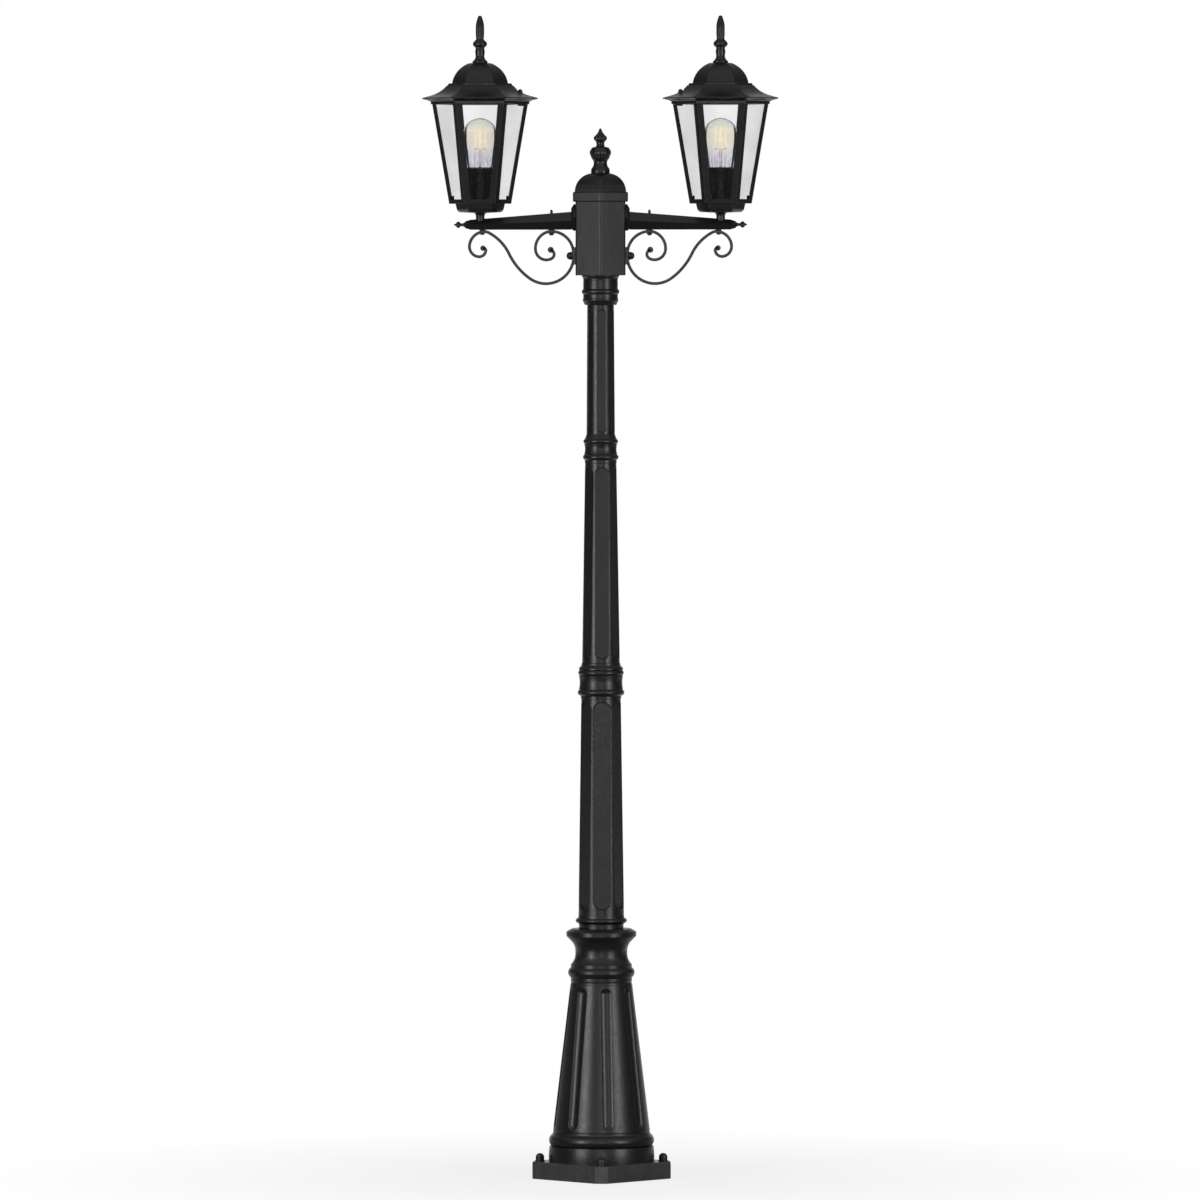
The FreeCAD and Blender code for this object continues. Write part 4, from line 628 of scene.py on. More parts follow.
class Skin:
    """Grids of points in millimetres, gathered into one closed mesh in metres."""

    def __init__(self) -> None:
        """Starts with nothing."""
        self.points: list[Array] = []
        self.quads: list[Array] = []
        self.count = 0

    def grid(self, points: Array, wrap: bool = True, close: bool = False) -> "Skin":
        """Adds a grid.

        Args:
            points: (rows, columns, 3).
            wrap: Joins the last column to the first.
            close: Joins the last row to the first.

        Returns:
            The skin.
        """
        rows, columns = points.shape[:2]
        index = np.arange(rows * columns).reshape(rows, columns) + self.count
        index = np.pad(index, ((0, int(close)), (0, int(wrap))), mode="wrap")
        quads = np.stack(
            [index[:-1, :-1], index[:-1, 1:], index[1:, 1:], index[1:, :-1]], axis=-1)
        self.points.append(points.reshape(-1, 3))
        self.quads.append(quads.reshape(-1, 4))
        self.count += rows * columns
        return self

    def turned(self, corners: Corners, soften: float, columns: int = 48,
               close: bool = False) -> "Skin":
        """Adds an outline turned about Z.

        Args:
            corners: Corners of the outline, as radii and heights.
            soften: Radius of the softened corners.
            columns: Points once round.
            close: Joins the last corner to the first.

        Returns:
            The skin.
        """
        return self.grid(lathe(outline(corners, soften, close), ring(columns)), close=close)

    def capped(self, points: Array) -> "Skin":
        """Adds a grid whose first and last rows are closed to their middles."""
        middles = np.broadcast_to(points[[0, -1]].mean(axis=1)[:, None], (2, *points.shape[1:]))
        return self.grid(np.concatenate([middles[:1], points, middles[1:]]))

    def moved(self, x: float = 0, y: float = 0, z: float = 0, turn: float = 0) -> "Skin":
        """Turns all points about Z, then moves them.

        Args:
            x: Way along X.
            y: Way along Y.
            z: Way along Z.
            turn: Turn in degrees.

        Returns:
            The skin.
        """
        sine, cosine = np.sin(np.radians(turn)), np.cos(np.radians(turn))
        spin = np.array([[cosine, sine, 0], [-sine, cosine, 0], [0, 0, 1]])
        self.points = [points @ spin + np.array([x, y, z]) for points in self.points]
        return self

    def tipped(self, x: float, z: float, outward: int) -> "Skin":
        """Lays +Z down along X, then moves all points.

        Args:
            x: Way along X.
            z: Way along Z.
            outward: Direction of +Z along X, 1 or -1.

        Returns:
            The skin.
        """
        self.points = [
            np.stack([x + points[:, 2] * outward, points[:, 1], z - points[:, 0]], axis=-1)
            for points in self.points]
        return self

    def mesh(self, name: str) -> bpy.types.Mesh:
        """Makes a tidy mesh.

        Args:
            name: Its name.

        Returns:
            The mesh in metres.
        """
        mesh = bpy.data.meshes.new(name)
        points = np.concatenate(self.points) * MM
        mesh.from_pydata(points.tolist(), [], np.concatenate(self.quads).tolist())
        return tidy(mesh)


def tidy(mesh: bpy.types.Mesh, flatten: float = 0.0) -> bpy.types.Mesh:
    """Merges doubles, joins flat neighbours if asked, and turns the faces outwards.

    Args:
        mesh: The mesh, changed in place.
        flatten: Largest angle between flat neighbours, or none.

    Returns:
        The mesh.
    """
    work = bmesh.new()
    work.from_mesh(mesh)
    bmesh.ops.remove_doubles(work, verts=work.verts, dist=BOND)
    bmesh.ops.dissolve_degenerate(work, edges=work.edges, dist=BOND / 2)
    if flatten:
        bmesh.ops.dissolve_limit(
            work, angle_limit=flatten, verts=work.verts, edges=work.edges,
            use_dissolve_boundaries=False)
    bmesh.ops.recalc_face_normals(work, faces=work.faces)
    work.to_mesh(mesh)
    work.free()
    mesh.shade_smooth()
    mesh.set_sharp_from_angle(angle=SHARP_EDGE)
    return mesh


def softened(node: str) -> bpy.types.Mesh:
    """Copies a CAD mesh, merged, with flat faces whole and edges marked sharp.

    Args:
        node: Name of the CAD node.

    Returns:
        The copy.
    """
    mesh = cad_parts[node].data.copy()
    mesh.name = f"{node}_softened"
    old = mesh.attributes.get("custom_normal")
    if old:
        mesh.attributes.remove(old)
    return tidy(mesh, FLAT_EDGE)


def foot_of(node: str) -> float:
    """Lowest height of a CAD node in millimetres."""
    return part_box(node)[0].z / MM


def put(name: str, data: bpy.types.ID) -> bpy.types.Object:
    """Puts a new object in the scene.

    Args:
        name: Its name.
        data: Its mesh, light or camera.

    Returns:
        The object.
    """
    item = bpy.data.objects.new(name, data)
    bpy.context.scene.collection.objects.link(item)
    return item


@dataclass(frozen=True)
class SubAssembly:
    """A sub-assembly, which shows its pieces on their bodies."""

    finishes: Finishes

    def own(self, name: str) -> str:
        """Full name of one of its pieces, nodes or bodies."""
        return name

    def show(self, name: str, shape: Skin | None, finish: Finish, node: str = "",
             body: str = "post", bevel: float = 0.0) -> bpy.types.Object:
        """Adds a piece.

        Args:
            name: Name of the piece.
            shape: Its skin, or None for the softened CAD node.
            finish: Its finish.
            node: CAD node that it stands for, if any.
            body: The CAD body that it rides on.
            bevel: Width of the edge bevel in metres, or none.

        Returns:
            The new object.
        """
        name, body = self.own(name), self.own(body)
        nodes = [self.own(node)] if node else []
        mesh = shape.mesh(name) if shape else softened(*nodes)
        piece = put(name, mesh)
        finish.put_on(mesh)
        if bevel:
            edge = piece.modifiers.new("Edge", "BEVEL")
            edge.width = bevel
            edge.segments = 2
            edge.limit_method = "ANGLE"
            edge.angle_limit = BEVEL_EDGE
        even = piece.modifiers.new("Even", "WEIGHTED_NORMAL")
        even.keep_sharp = not bevel
        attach(piece, body)
        if nodes:
            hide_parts(*nodes)
        log.info("piece %s on body %s, %d faces", name, body, len(mesh.polygons))
        return piece

    def dress(self, node: str, finish: Finish) -> None:
        """Gives a CAD node that stays in view its material."""
        finish.put_on(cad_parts[self.own(node)].data)
        log.info("node %s in %s", self.own(node), finish.material.name)


@dataclass(frozen=True)
class SideAssembly(SubAssembly):
    """A sub-assembly of one lantern, whose names end in the side's word."""

    side: Side

    def own(self, name: str) -> str:
        """Full name of one of its pieces, nodes or bodies; both sides share the post."""
        return name if name == "post" else f"{name}_{self.side.word}"

    @property
    def x(self) -> float:
        """Place of the lantern's axis along X."""
        return LANTERN_X * self.side.value


# Post


@dataclass(frozen=True)
class FlutedBand:
    """Tapered band of a round post with round-ended flutes between plain lands.

    Each flute has a panel of its own, a grid in the way u once round the flute's outline and
    the way v from its centre line outwards. The outline is a stadium; beyond it the rows fan
    out to the panel's straight borders, so edges and ends stay crisp.
    """

    low: Corner
    high: Corner
    count: int
    width: float
    depth: float
    foot: float
    top: float
    turn: float
    floor: Floor
    edge: float = 0.8

    CORE: ClassVar = np.array([0, 0.3, 0.6, 0.85, 1])
    RIM: ClassVar = np.array([-0.5, 0, 0.5, 1])
    BORDER: ClassVar = np.array([0.12, 0.35, 0.65, 1.0])
    WALL: ClassVar = np.array([1, 1, 1, 1, 1, 0.82, 0.5, 0.16, 0, 0, 0, 0, 0])
    EASE: ClassVar = np.array([0, 0, 0, 0, 0, 0.02, 0.16, 0.05, 0, 0, 0, 0, 0])

    def radius(self, z: Array) -> Array:
        """Radius of the band at heights z, by straight taper."""
        share = (z - self.low[1]) / (self.high[1] - self.low[1])
        return self.low[0] + (self.high[0] - self.low[0]) * share

    def turns(self) -> Array:
        """Angles of the middles of the flutes."""
        return np.radians(self.turn) + ring(self.count)

    def angles(self) -> Array:
        """Works out the columns on the top and bottom borders.

        Returns:
            Angles (count * 12,), sorted once round.
        """
        fan = np.radians(np.linspace(45, 135, 13))[:-1]
        own = np.arcsin(np.sin(np.pi / self.count) * np.cos(fan) / np.sin(fan))
        return (self.turns()[:, None] - own).ravel()

    def panels(self) -> Array:
        """Works out the panels, one for each flute.

        Returns:
            Grids (count, loop, columns, 3).
        """
        half = self.width / 2
        ends = self.foot + half, self.top - half
        rows = np.linspace(*ends, 15)[1:-1]
        fan = np.radians(np.linspace(0, 180, 25))
        flat, level = np.ones(len(rows)), np.zeros(len(rows))
        spine = np.concatenate([
            rows, np.full(len(fan), ends[1]), rows[::-1], np.full(len(fan), ends[0])])[:, None]
        away_x = np.concatenate([flat, np.cos(fan), -flat, -np.cos(fan)])[:, None]
        away_z = np.concatenate([level, np.sin(fan), level, -np.sin(fan)])[:, None]
        reach = np.concatenate([(half - self.edge) * self.CORE, half + self.edge * self.RIM])
        largest = np.maximum(np.abs(away_x), np.abs(away_z))
        room = np.where(away_z > 0, self.high[1] - ends[1], ends[0] - self.low[1])
        border_z = spine + room * away_z / largest
        border_x = self.radius(border_z) * np.sin(np.pi / self.count) * away_x / largest
        across, along = (
            np.concatenate([inner, inner[:, -1:] + (border - inner[:, -1:]) * self.BORDER], axis=1)
            for inner, border in (
                (reach * away_x, border_x), (spine + reach * away_z, border_z)))
        radius = self.radius(along)
        land = np.sqrt(np.maximum(radius**2 - across**2, 0))
        if self.floor is Floor.FLAT:
            out = land + (np.minimum(radius - self.depth, land) - land) * self.WALL
        else:
            distance = np.concatenate([reach, np.full(len(self.BORDER), self.width)])
            hollow = (half**2 + self.depth**2) / (2 * self.depth)
            sunk = np.sqrt(np.maximum(hollow**2 - distance**2, 0)) - (hollow - self.depth)
            out = land - np.maximum(sunk, 0) - self.EASE
        turn = self.turns()[:, None, None]
        x = out * np.cos(turn) + across * np.sin(turn)
        y = out * np.sin(turn) - across * np.cos(turn)
        return np.stack([x, y, np.broadcast_to(along, x.shape)], axis=-1)

    def skin(self, below: Corners, above: Corners, soften: float) -> Skin:
        """Turns plain outlines below and above the band and puts its panels between them.

        Args:
            below: Corners up to the foot of the band.
            above: Corners from the top of the band.
            soften: Radius of the softened corners.

        Returns:
            The skin.
        """
        skin = Skin()
        for corners in (below, above):
            skin.grid(lathe(outline(corners, soften), self.angles()))
        for panel in self.panels():
            skin.grid(np.concatenate([panel, panel[:1]]), wrap=False)
        return skin


@dataclass(frozen=True)
class BaseCasting(SubAssembly):
    """Base casting: square foot with cut corners, drum, bead, fluted cone, ring, neck, flange.

    The turned mouldings are given as (radius, height, start).
    """

    foot_side: float = 197
    foot_reach: float = 128
    foot_height: float = 32
    foot_chamfer: float = 3
    foot_rounding: float = 1.6
    anchor_circle: float = 114
    drum: float = 97.5
    bead: Corner = (97.7, 21, 61)
    cone_foot: Corner = (89.5, 285, 82)
    cone_top: Corner = (57.2, 285, 82)
    ring: Corner = (61.8, 24, 367)
    neck: Corner = (48.1, 50, 391)
    flange: Corner = (64.8, 22, 441)
    socket: Corner = (35.3, 423)
    wall: float = 5.7

    BEAD: ClassVar = ((0.935, 0.0), (0.957, 0.06, 0.2), (0.957, 0.94), (0.935, 1.0))
    CONE_FOOT: ClassVar = ((1.03, 0.0, -0.15), (1.0, 0.028))
    CONE_TOP: ClassVar = ((1.0, 0.975, -0.1), (0.99, 1.0))
    RING: ClassVar = ((0.916, 0.25), (0.93, 0.27, 0.24), (0.93, 0.98), (0.915, 1.0))
    NECK: ClassVar = ((1.175, 0.12, -0.11), (1.0, 0.56, -0.11), (1.17, 1.0))
    FLANGE: ClassVar = (
        (0.87, 0.0), (0.985, 0.34), (1.0, 0.4), (1.0, 0.72), (0.985, 0.78), (0.85, 1.0))
    CAP_NUT: ClassVar = ((4, 0), (9, 0), (9, 1.6), (7.9, 2.2), (7.9, 8, 0.2), (0, 15))

    def foot_loop(self, inset: float, columns: int) -> Array:
        """Octagon of the foot with its corners rounded by quadratic curves.

        Args:
            inset: How far it lies inside the foot's outline.
            columns: Number of points, shared evenly by the sides.

        Returns:
            Loop (columns, 2).
        """
        reach = self.foot_reach - inset
        blunt = (self.foot_side / 2 - inset) * np.sqrt(2) - reach
        corners = np.array([
            (reach, -blunt), (reach, blunt), (blunt, reach), (-blunt, reach),
            (-reach, blunt), (-reach, -blunt), (-blunt, -reach), (blunt, -reach)])
        before, after = (
            way / np.linalg.norm(way, axis=1)[:, None] * self.foot_rounding
            for way in (corners - np.roll(corners, 1, 0), np.roll(corners, -1, 0) - corners))
        start, end = (corners - before)[:, None], (corners + after)[:, None]
        t = np.linspace(0, 1, 4)[:, None]
        curve = (1 - t) ** 2 * start + 2 * t * (1 - t) * corners[:, None] + t**2 * end
        rest = columns // 8 - 4
        share = (np.arange(1, rest + 1) / (rest + 1))[:, None]
        side = end + (np.roll(start, -1, 0) - end) * share
        return np.roll(np.concatenate([curve, side], axis=1).reshape(-1, 2), -2, axis=0)

    def foot_plate(self, angles: Array, hollow: float) -> Array:
        """Rows from the foot of the drum out over the plate and under it to the hollow.

        Args:
            angles: Angles of the shell's columns.
            hollow: Radius of the hollow at the ground.

        Returns:
            Grid (rows, columns, 3).
        """
        columns, height, chamfer = len(angles), self.foot_height, self.foot_chamfer
        order = np.argsort(np.mod(angles + np.pi / columns, TAU))
        drum, rim = lathe(np.array([[self.drum * 0.9, height], [hollow, 0]]), angles[order])
        levels = (
            (chamfer, height), (chamfer * 0.62, height - 0.35), (0.35, height - chamfer * 0.75),
            (0, height - chamfer), (0, 2), (0, 0.8), (0.8, 0))
        plate = [
            np.column_stack([self.foot_loop(inset, columns), np.full(columns, z)])
            for inset, z in levels]
        return np.stack([drum, *plate, rim])

    def build(self) -> None:
        """Turned shell with its fluted cone, the foot plate, and the nuts on it."""
        cone_foot = moulding(self.CONE_FOOT, *self.cone_foot)
        cone_top = moulding(self.CONE_TOP, *self.cone_top)
        band = FlutedBand(
            cone_foot[-1], cone_top[0], count=8, width=20.5, depth=4, foot=94.5, top=354.5,
            turn=-82, floor=Floor.ROUND, edge=0.9)
        drum, height, bead_z = self.drum, self.foot_height, self.bead[2]
        below = (
            (drum * 0.9, height), (drum * 0.985, height), (drum, height, 0.03),
            (drum * 0.985, bead_z), *moulding(self.BEAD, *self.bead), *cone_foot)
        hollow, cone_z = self.cone_foot[0] - self.wall, self.cone_foot[2]
        neck = self.neck[0] - self.wall * 0.75
        bore, seat = self.socket
        above = (
            *cone_top, *moulding(self.RING, *self.ring), *moulding(self.NECK, *self.neck),
            *moulding(self.FLANGE, *self.flange), (bore, self.flange[1] + self.flange[2]),
            (bore, seat), (neck, seat - self.wall), (neck, self.neck[2]),
            (self.cone_top[0] - self.wall, self.ring[2]), (hollow, cone_z), (hollow, 0))
        skin = band.skin(below, above, 0.9).grid(self.foot_plate(band.angles(), hollow))
        self.show("base_shell", skin, self.finishes.base, "base_casting")
        nuts = Skin()
        cap = lathe(outline(self.CAP_NUT, 0.3), ring(40))
        for angle in ring(4):
            x, y = self.anchor_circle * np.cos(angle), self.anchor_circle * np.sin(angle)
            nuts.grid(cap + np.array([x, y, height]))
        self.show("anchor_nuts", nuts, self.finishes.steel, "anchor_cap_nuts")


@dataclass(frozen=True)
class Shaft(SubAssembly):
    """Tapered fluted tube with a spigot at each end.

    The flute is (width, depth, gap at the foot, gap at the top).
    """

    name: str
    height: float
    foot: float
    top: float
    foot_spigot: Corner
    top_spigot: Corner
    bore: float
    flute: Corner
    turn: float
    mould: Corners = ()

    def build(self) -> None:
        """Fluted band between plain turned ends, one closed skin with the bore."""
        spigot, below = self.foot_spigot
        cap, above = self.top_spigot
        width, depth, foot_gap, top_gap = self.flute
        mould = self.mould or ((self.foot, 0),)
        foot_r, foot_z = mould[-1]
        slope = (self.top - foot_r) / (self.height - foot_z)
        plain, rim = 1.5, 0.3
        band = FlutedBand(
            (foot_r + slope * plain, foot_z + plain),
            (self.top - slope * plain, self.height - plain), 6, width, depth, foot_gap,
            self.height - top_gap, self.turn - 90, Floor.FLAT)
        end = self.height + above
        lower = (
            (self.bore, -below), (spigot - rim, -below), (spigot, rim - below), (spigot, 0),
            *mould, band.low)
        upper = (
            band.high, (self.top, self.height), (cap, self.height), (cap, end - rim),
            (cap - rim, end), (self.bore, end), (self.bore, -below))
        skin = band.skin(lower, upper, 0.5).moved(z=foot_of(self.name) + below)
        self.show(f"{self.name}_skin", skin, self.finishes.casting, self.name)


@dataclass(frozen=True)
class Turning(SubAssembly):
    """A turned piece with a closed outline about the post's axis."""

    name: str
    shares: Corners
    radius: float
    height: float
    inside: Corners

    def build(self) -> None:
        """Turns the outside moulding and the inside together."""
        corners = (*moulding(self.shares, self.radius, self.height), *self.inside)
        skin = Skin().turned(corners, 0.7, 112, close=True).moved(z=foot_of(self.name))
        self.show(f"{self.name}_skin", skin, self.finishes.casting, self.name)


class Post(SubAssembly):
    """Shafts, couplings and collar from the base up to the head.

    The rows of SHAFTS and TURNINGS hold the fields of Shaft and Turning in order.
    """

    SHAFT_FOOT: ClassVar = (
        (0.87, 0.0), (0.87, 0.36), (0.905, 0.42, 0.5), (0.905, 0.78), (0.886, 1.0))
    LOWER: ClassVar = (
        (0.87, 0.0), (0.87, 0.07), (0.93, 0.09, 0.3), (0.93, 0.245), (0.948, 0.26, -0.06),
        (0.945, 0.63), (0.92, 0.65, 0.27), (0.92, 0.79), (0.948, 0.81), (0.948, 0.85),
        (0.84, 0.93), (0.824, 1.0))
    UPPER: ClassVar = (
        (0.894, 0.0), (0.894, 0.1), (0.91, 0.12, 0.3), (0.91, 0.3), (0.925, 0.32, -0.075),
        (0.92, 0.66), (0.9, 0.68, 0.29), (0.9, 0.84), (0.885, 0.86), (0.832, 0.936), (0.803, 1.0))
    COLLAR: ClassVar = (
        (0.839, 0.0), (0.948, 0.16), (0.948, 0.2), (0.922, 0.22), (0.922, 0.36, 0.27),
        (0.922, 0.54), (0.922, 0.8, -0.12), (0.994, 0.97), (0.994, 1.0))
    SHAFTS: ClassVar = (
        ("lower_shaft", 426, 42.1, 36.6, (35, 40), (32, 31), 28, (34.4, 4.7, 37, 6), 3,
         moulding(SHAFT_FOOT, 47.5, 25)),
        ("middle_shaft", 369, 34.8, 29, (30, 28), (25, 22), 21.5, (26.7, 3.7, 8, 8), 5),
        ("upper_shaft", 239, 26.2, 24.7, (23, 22), (21, 24), 18.5, (16, 2.4, 4, 9), 5))
    TURNINGS: ClassVar = (
        ("lower_coupling", LOWER, 43.1, 66, (
            (30.3, 66), (30.3, 36.6), (20, 36.6), (20, 31.6), (32.3, 31.6), (32.3, 0))),
        ("upper_coupling", UPPER, 33, 53, (
            (23.3, 53), (23.3, 29.6), (14, 29.6), (14, 22.6), (25.3, 22.6), (25.3, 0))),
        ("top_collar", COLLAR, 34.8, 54.6, (
            (20, 54.6), (20, 66.6), (14, 66.6), (14, 26), (21.3, 26), (21.3, 0))))

    def build(self) -> None:
        """Builds the pieces from the ground up and dresses the grub screws."""
        BaseCasting(self.finishes).build()
        for sizes in self.SHAFTS:
            Shaft(self.finishes, *sizes).build()
        for sizes in self.TURNINGS:
            Turning(self.finishes, *sizes).build()
        self.dress("grub_screws", self.finishes.steel)


@dataclass(frozen=True)
class Finial:
    """Turned finial whose belly or spear is reeded.

    Radius = profile(z) * (1 - depth * (1 - |cos(n a / 2)|) * w(z)), where w rises and falls
    smoothly between the heights low and high; each row of reeds is (n, depth, low, high).
    """

    shares: Corners
    radius: float
    height: float
    spigot: Corner
    reeds: Corners = ()

    def skin(self, columns: int = 120) -> Skin:
        """Works out the closed skin with the base of the finial at z = 0.

        Args:
            columns: Points once round.

        Returns:
            The skin.
        """
        spigot, depth = self.spigot
        foot = ((0, -depth), (spigot, -depth), (spigot, 0))
        profile = outline(foot + moulding(self.shares, self.radius, self.height), 0.5)
        long = np.linalg.norm(np.diff(profile, axis=0), axis=1) > 3
        middles = (profile[:-1] + profile[1:])[long] / 2
        profile = np.insert(profile, np.flatnonzero(long) + 1, middles, axis=0)
        angles = ring(columns)
        grid = lathe(profile, angles)
        for count, deep, low, high in self.reeds:
            share = np.clip((profile[:, 1:] / self.height - low) / (high - low), 0, 1)
            weight = np.clip(np.sin(share * np.pi) * 2.5, 0, 1)
            lobe = 1 - np.abs(np.cos(count * angles / 2))
            grid[..., :2] *= (1 - deep * lobe * weight)[..., None]
        return Skin().grid(grid)


class Head(SubAssembly):
    """Hexagonal head block, its cap and finial, and what sits inside."""

    CAP: ClassVar = (
        (41.8, -6), (41.8, 0), (49.28, 0), (50.9, 1.62), (50.9, 16.38), (49.28, 18),
        (47.4, 18, 0.187), (17.4, 52.4), (4.05, 52.4), (4.05, 46.4), (13.4, 46.4, -0.187),
        (37.8, 18), (37.8, -6))
    FINIAL: ClassVar = (
        (0.895, 0.0, 0.08), (0.86, 0.115, -0.1), (0.65, 0.225, -0.1), (0.8, 0.315, 0.05),
        (0.93, 0.385), (0.99, 0.41, 0.12), (0.97, 0.52), (0.83, 0.571), (0.42, 0.6),
        (0.38, 0.65, -0.08), (0.47, 0.715, 0.3), (0.48, 0.845), (0.33, 0.88, -0.05),
        (0.13, 0.975), (0.04, 1.0), (0.0, 1.0))

    def build(self) -> None:
        """Softens the block, builds cap and finial and dresses the hidden pieces."""
        casting, zinc, plastic = self.finishes.casting, self.finishes.zinc, self.finishes.plastic
        self.show("head_box", None, casting, "head_block", bevel=0.0012)
        cap = Skin().grid(hexagon_lathe(outline(self.CAP, 0.7, True), 30, 3.2), close=True)
        lip = -self.CAP[0][1]
        self.show("head_cap_shell", cap.moved(z=foot_of("head_cap") + lip), casting, "head_cap")
        spigot = (4, 12)
        finial = Finial(
            self.FINIAL, radius=19, height=83, spigot=spigot,
            reeds=((12, 0.05, 0.3, 0.56), (8, 0.1, 0.72, 0.95)))
        top = foot_of("head_finial") + spigot[1]
        self.show("head_finial_skin", finial.skin().moved(z=top), casting, "head_finial")
        self.dress("head_floor_screws", zinc)
        self.dress("terminal_block", plastic)


# Arms


@dataclass(frozen=True)
class Bracket(SideAssembly):
    """Scroll bracket: a flat bar along tangent arcs, with knobs, foot plate and bosses.

    The pads at the crown and at the outer end are (bend, shift, hole, radius); the foot plate
    is (width, height, rounding) and the boss on it (hole, radius, length).
    """

    face: float = 46.1
    span: float = 175.9
    bar: Corner = (5.5, 11)
    start: Corner = (0.9717, -0.1856, -195.2)
    knobs: Corner = (5, 5.6)
    foot_bend: int = 8
    crown_bend: int = 10
    plate: Corner = (18, 32.4, 1.4)
    boss: Corner = (2.8, 7.5, 10.5)
    pads: Corners = ((10, -0.6, 2.9, 5.6), (4, 4.5, 2.8, 5.4))
    pad_height: float = 6.72

    BENDS: ClassVar = (
        (0.024, 110.7), (0.0712, 92.3), (0.1062, 85.9), (0.1611, 86.3), (0.0831, 27.3),
        (0.4896, 37), (0.6878, -28.5), (0.2915, -125.8), (0.3258, -14.7), (0.234, -75.3),
        (0.1339, -19.8), (0.1813, -75.4), (0.1148, -113.9), (0.0496, -135.1))

    def path(self) -> tuple[Array, Array, Array]:
        """Centre line as tangent arcs, from the knob at the outer end.

        Along an arc of radius r and side s the heading h grows evenly, and the point is
        start + s r (sin h - sin h0, cos h0 - cos h).

        Returns:
            Points (n, 3), normals (n, 3), and the starts and the end of the bends (15, 2).
        """
        x, z, degrees = self.start
        heading = np.radians(degrees)
        spots, headings, starts = [], [], [(x, z)]
        for radius, bend in self.BENDS:
            steps = max(4, int(abs(bend) * radius * 1.2) + 4)
            angle = heading + np.radians(np.linspace(0, bend, steps + 1))
            reach = np.sign(bend) * radius
            spots.append(np.column_stack([
                x + reach * (np.sin(angle) - np.sin(heading)),
                z - reach * (np.cos(angle) - np.cos(heading))]))
            headings.append(angle[:-1])
            (x, z), heading = spots[-1][-1], angle[-1]
            starts.append((x, z))
        angle = np.append(np.concatenate(headings), heading)
        line = np.vstack([*(part[:-1] for part in spots), starts[-1]])
        lift = -self.bar[0] / 2 - 0.3 - self.span * starts[self.crown_bend][1]
        line, starts = (
            self.span * np.array(part) + np.array([self.face, lift]) for part in (line, starts))
        flat = np.zeros(len(line))
        return (
            np.column_stack([line[:, 0], flat, line[:, 1]]),
            np.column_stack([-np.sin(angle), flat, np.cos(angle)]), starts)

    def knob(self, x: float, z: float, radius: float) -> Array:
        """Round knob across the bar's width with rounded rims.

        Args:
            x: Its place along X.
            z: Its place along Z.
            radius: Its radius.

        Returns:
            Grid (rows, 28, 3).
        """
        half = self.bar[1] / 2
        profile = outline(((0, -half), (radius, -half), (radius, half), (0, half)), 0.8)
        return lathe(profile, ring(28))[..., [0, 2, 1]] + np.array([x, 0, z])

    def build(self) -> None:
        """Sweeps the bar and adds the turned parts, turned about for the left side."""
        points, normals, starts = self.path()
        skin = Skin().capped(sweep(points, normals, (0, 1, 0), rounded_loop(*self.bar, 0.9)))
        for spot, radius in zip(starts[[0, -1]], self.knobs):
            skin.grid(self.knob(*spot, radius))
        foot_z = starts[self.foot_bend, 1]
        plate = rounded_loop(*self.plate)
        skin.capped(np.stack([
            np.column_stack([np.full(len(plate), out), plate * share]) + [self.face, 0, foot_z]
            for out, share in ((0, 1), (3.9, 1), (4.7, 0.965), (5, 0.92))]))
        hole, radius, long = self.boss
        boss = outline(((hole, 0), (radius, 0), (radius, long), (hole, long)), 0.7, True)
        skin.grid(
            lathe(boss, ring(32))[..., [2, 1, 0]] + np.array([self.face, 0, foot_z]), close=True)
        low = -self.pad_height
        for bend, shift, hole, radius in self.pads:
            pad = outline(((hole, low), (radius * 0.93, low), (radius, 0), (hole, 0)), 0.5, True)
            middle = np.array([starts[bend, 0] + shift, 0, 0])
            skin.grid(lathe(pad, ring(28)) + middle, close=True)
        turn = 0 if self.side is Side.RIGHT else 180
        self.show("scroll_bar", skin.moved(z=ARM_Z, turn=turn), self.finishes.steel, "scroll")


@dataclass(frozen=True)
class Arm(SideAssembly):
    """Tapered hexagonal arm with its screws, bolt and end finial."""

    tip: Corner = (249.6, 9.25)

    FINIAL: ClassVar = (
        (1.0, 0.0, -0.15), (0.43, 0.33), (0.43, 0.42, 0.4), (0.45, 0.8), (0.3, 0.86, 0.1),
        (0.08, 1.0), (0.0, 1.0))

    def build(self) -> None:
        """Softens the casting, turns the finial and dresses the fixings."""
        outward, steel = self.side.value, self.finishes.steel
        self.show("arm_casting", None, self.finishes.arm, "arm", bevel=0.0008)
        skin = Finial(self.FINIAL, radius=6.3, height=21.1, spigot=(2.9, 9)).skin(48)
        skin.tipped(self.tip[0] * outward, ARM_Z + self.tip[1], outward)
        self.show("arm_tip", skin, self.finishes.casting, "arm_end_finial")
        self.show("bracket_bolt", None, steel, "arm_bolt", bevel=0.0003)
        self.show("bracket_screw", None, steel, "scroll_screw")
        self.show("bracket_end_screw", None, steel, "scroll_end_screw")
        self.dress("arm_flange_screws", self.finishes.zinc)


# Lanterns


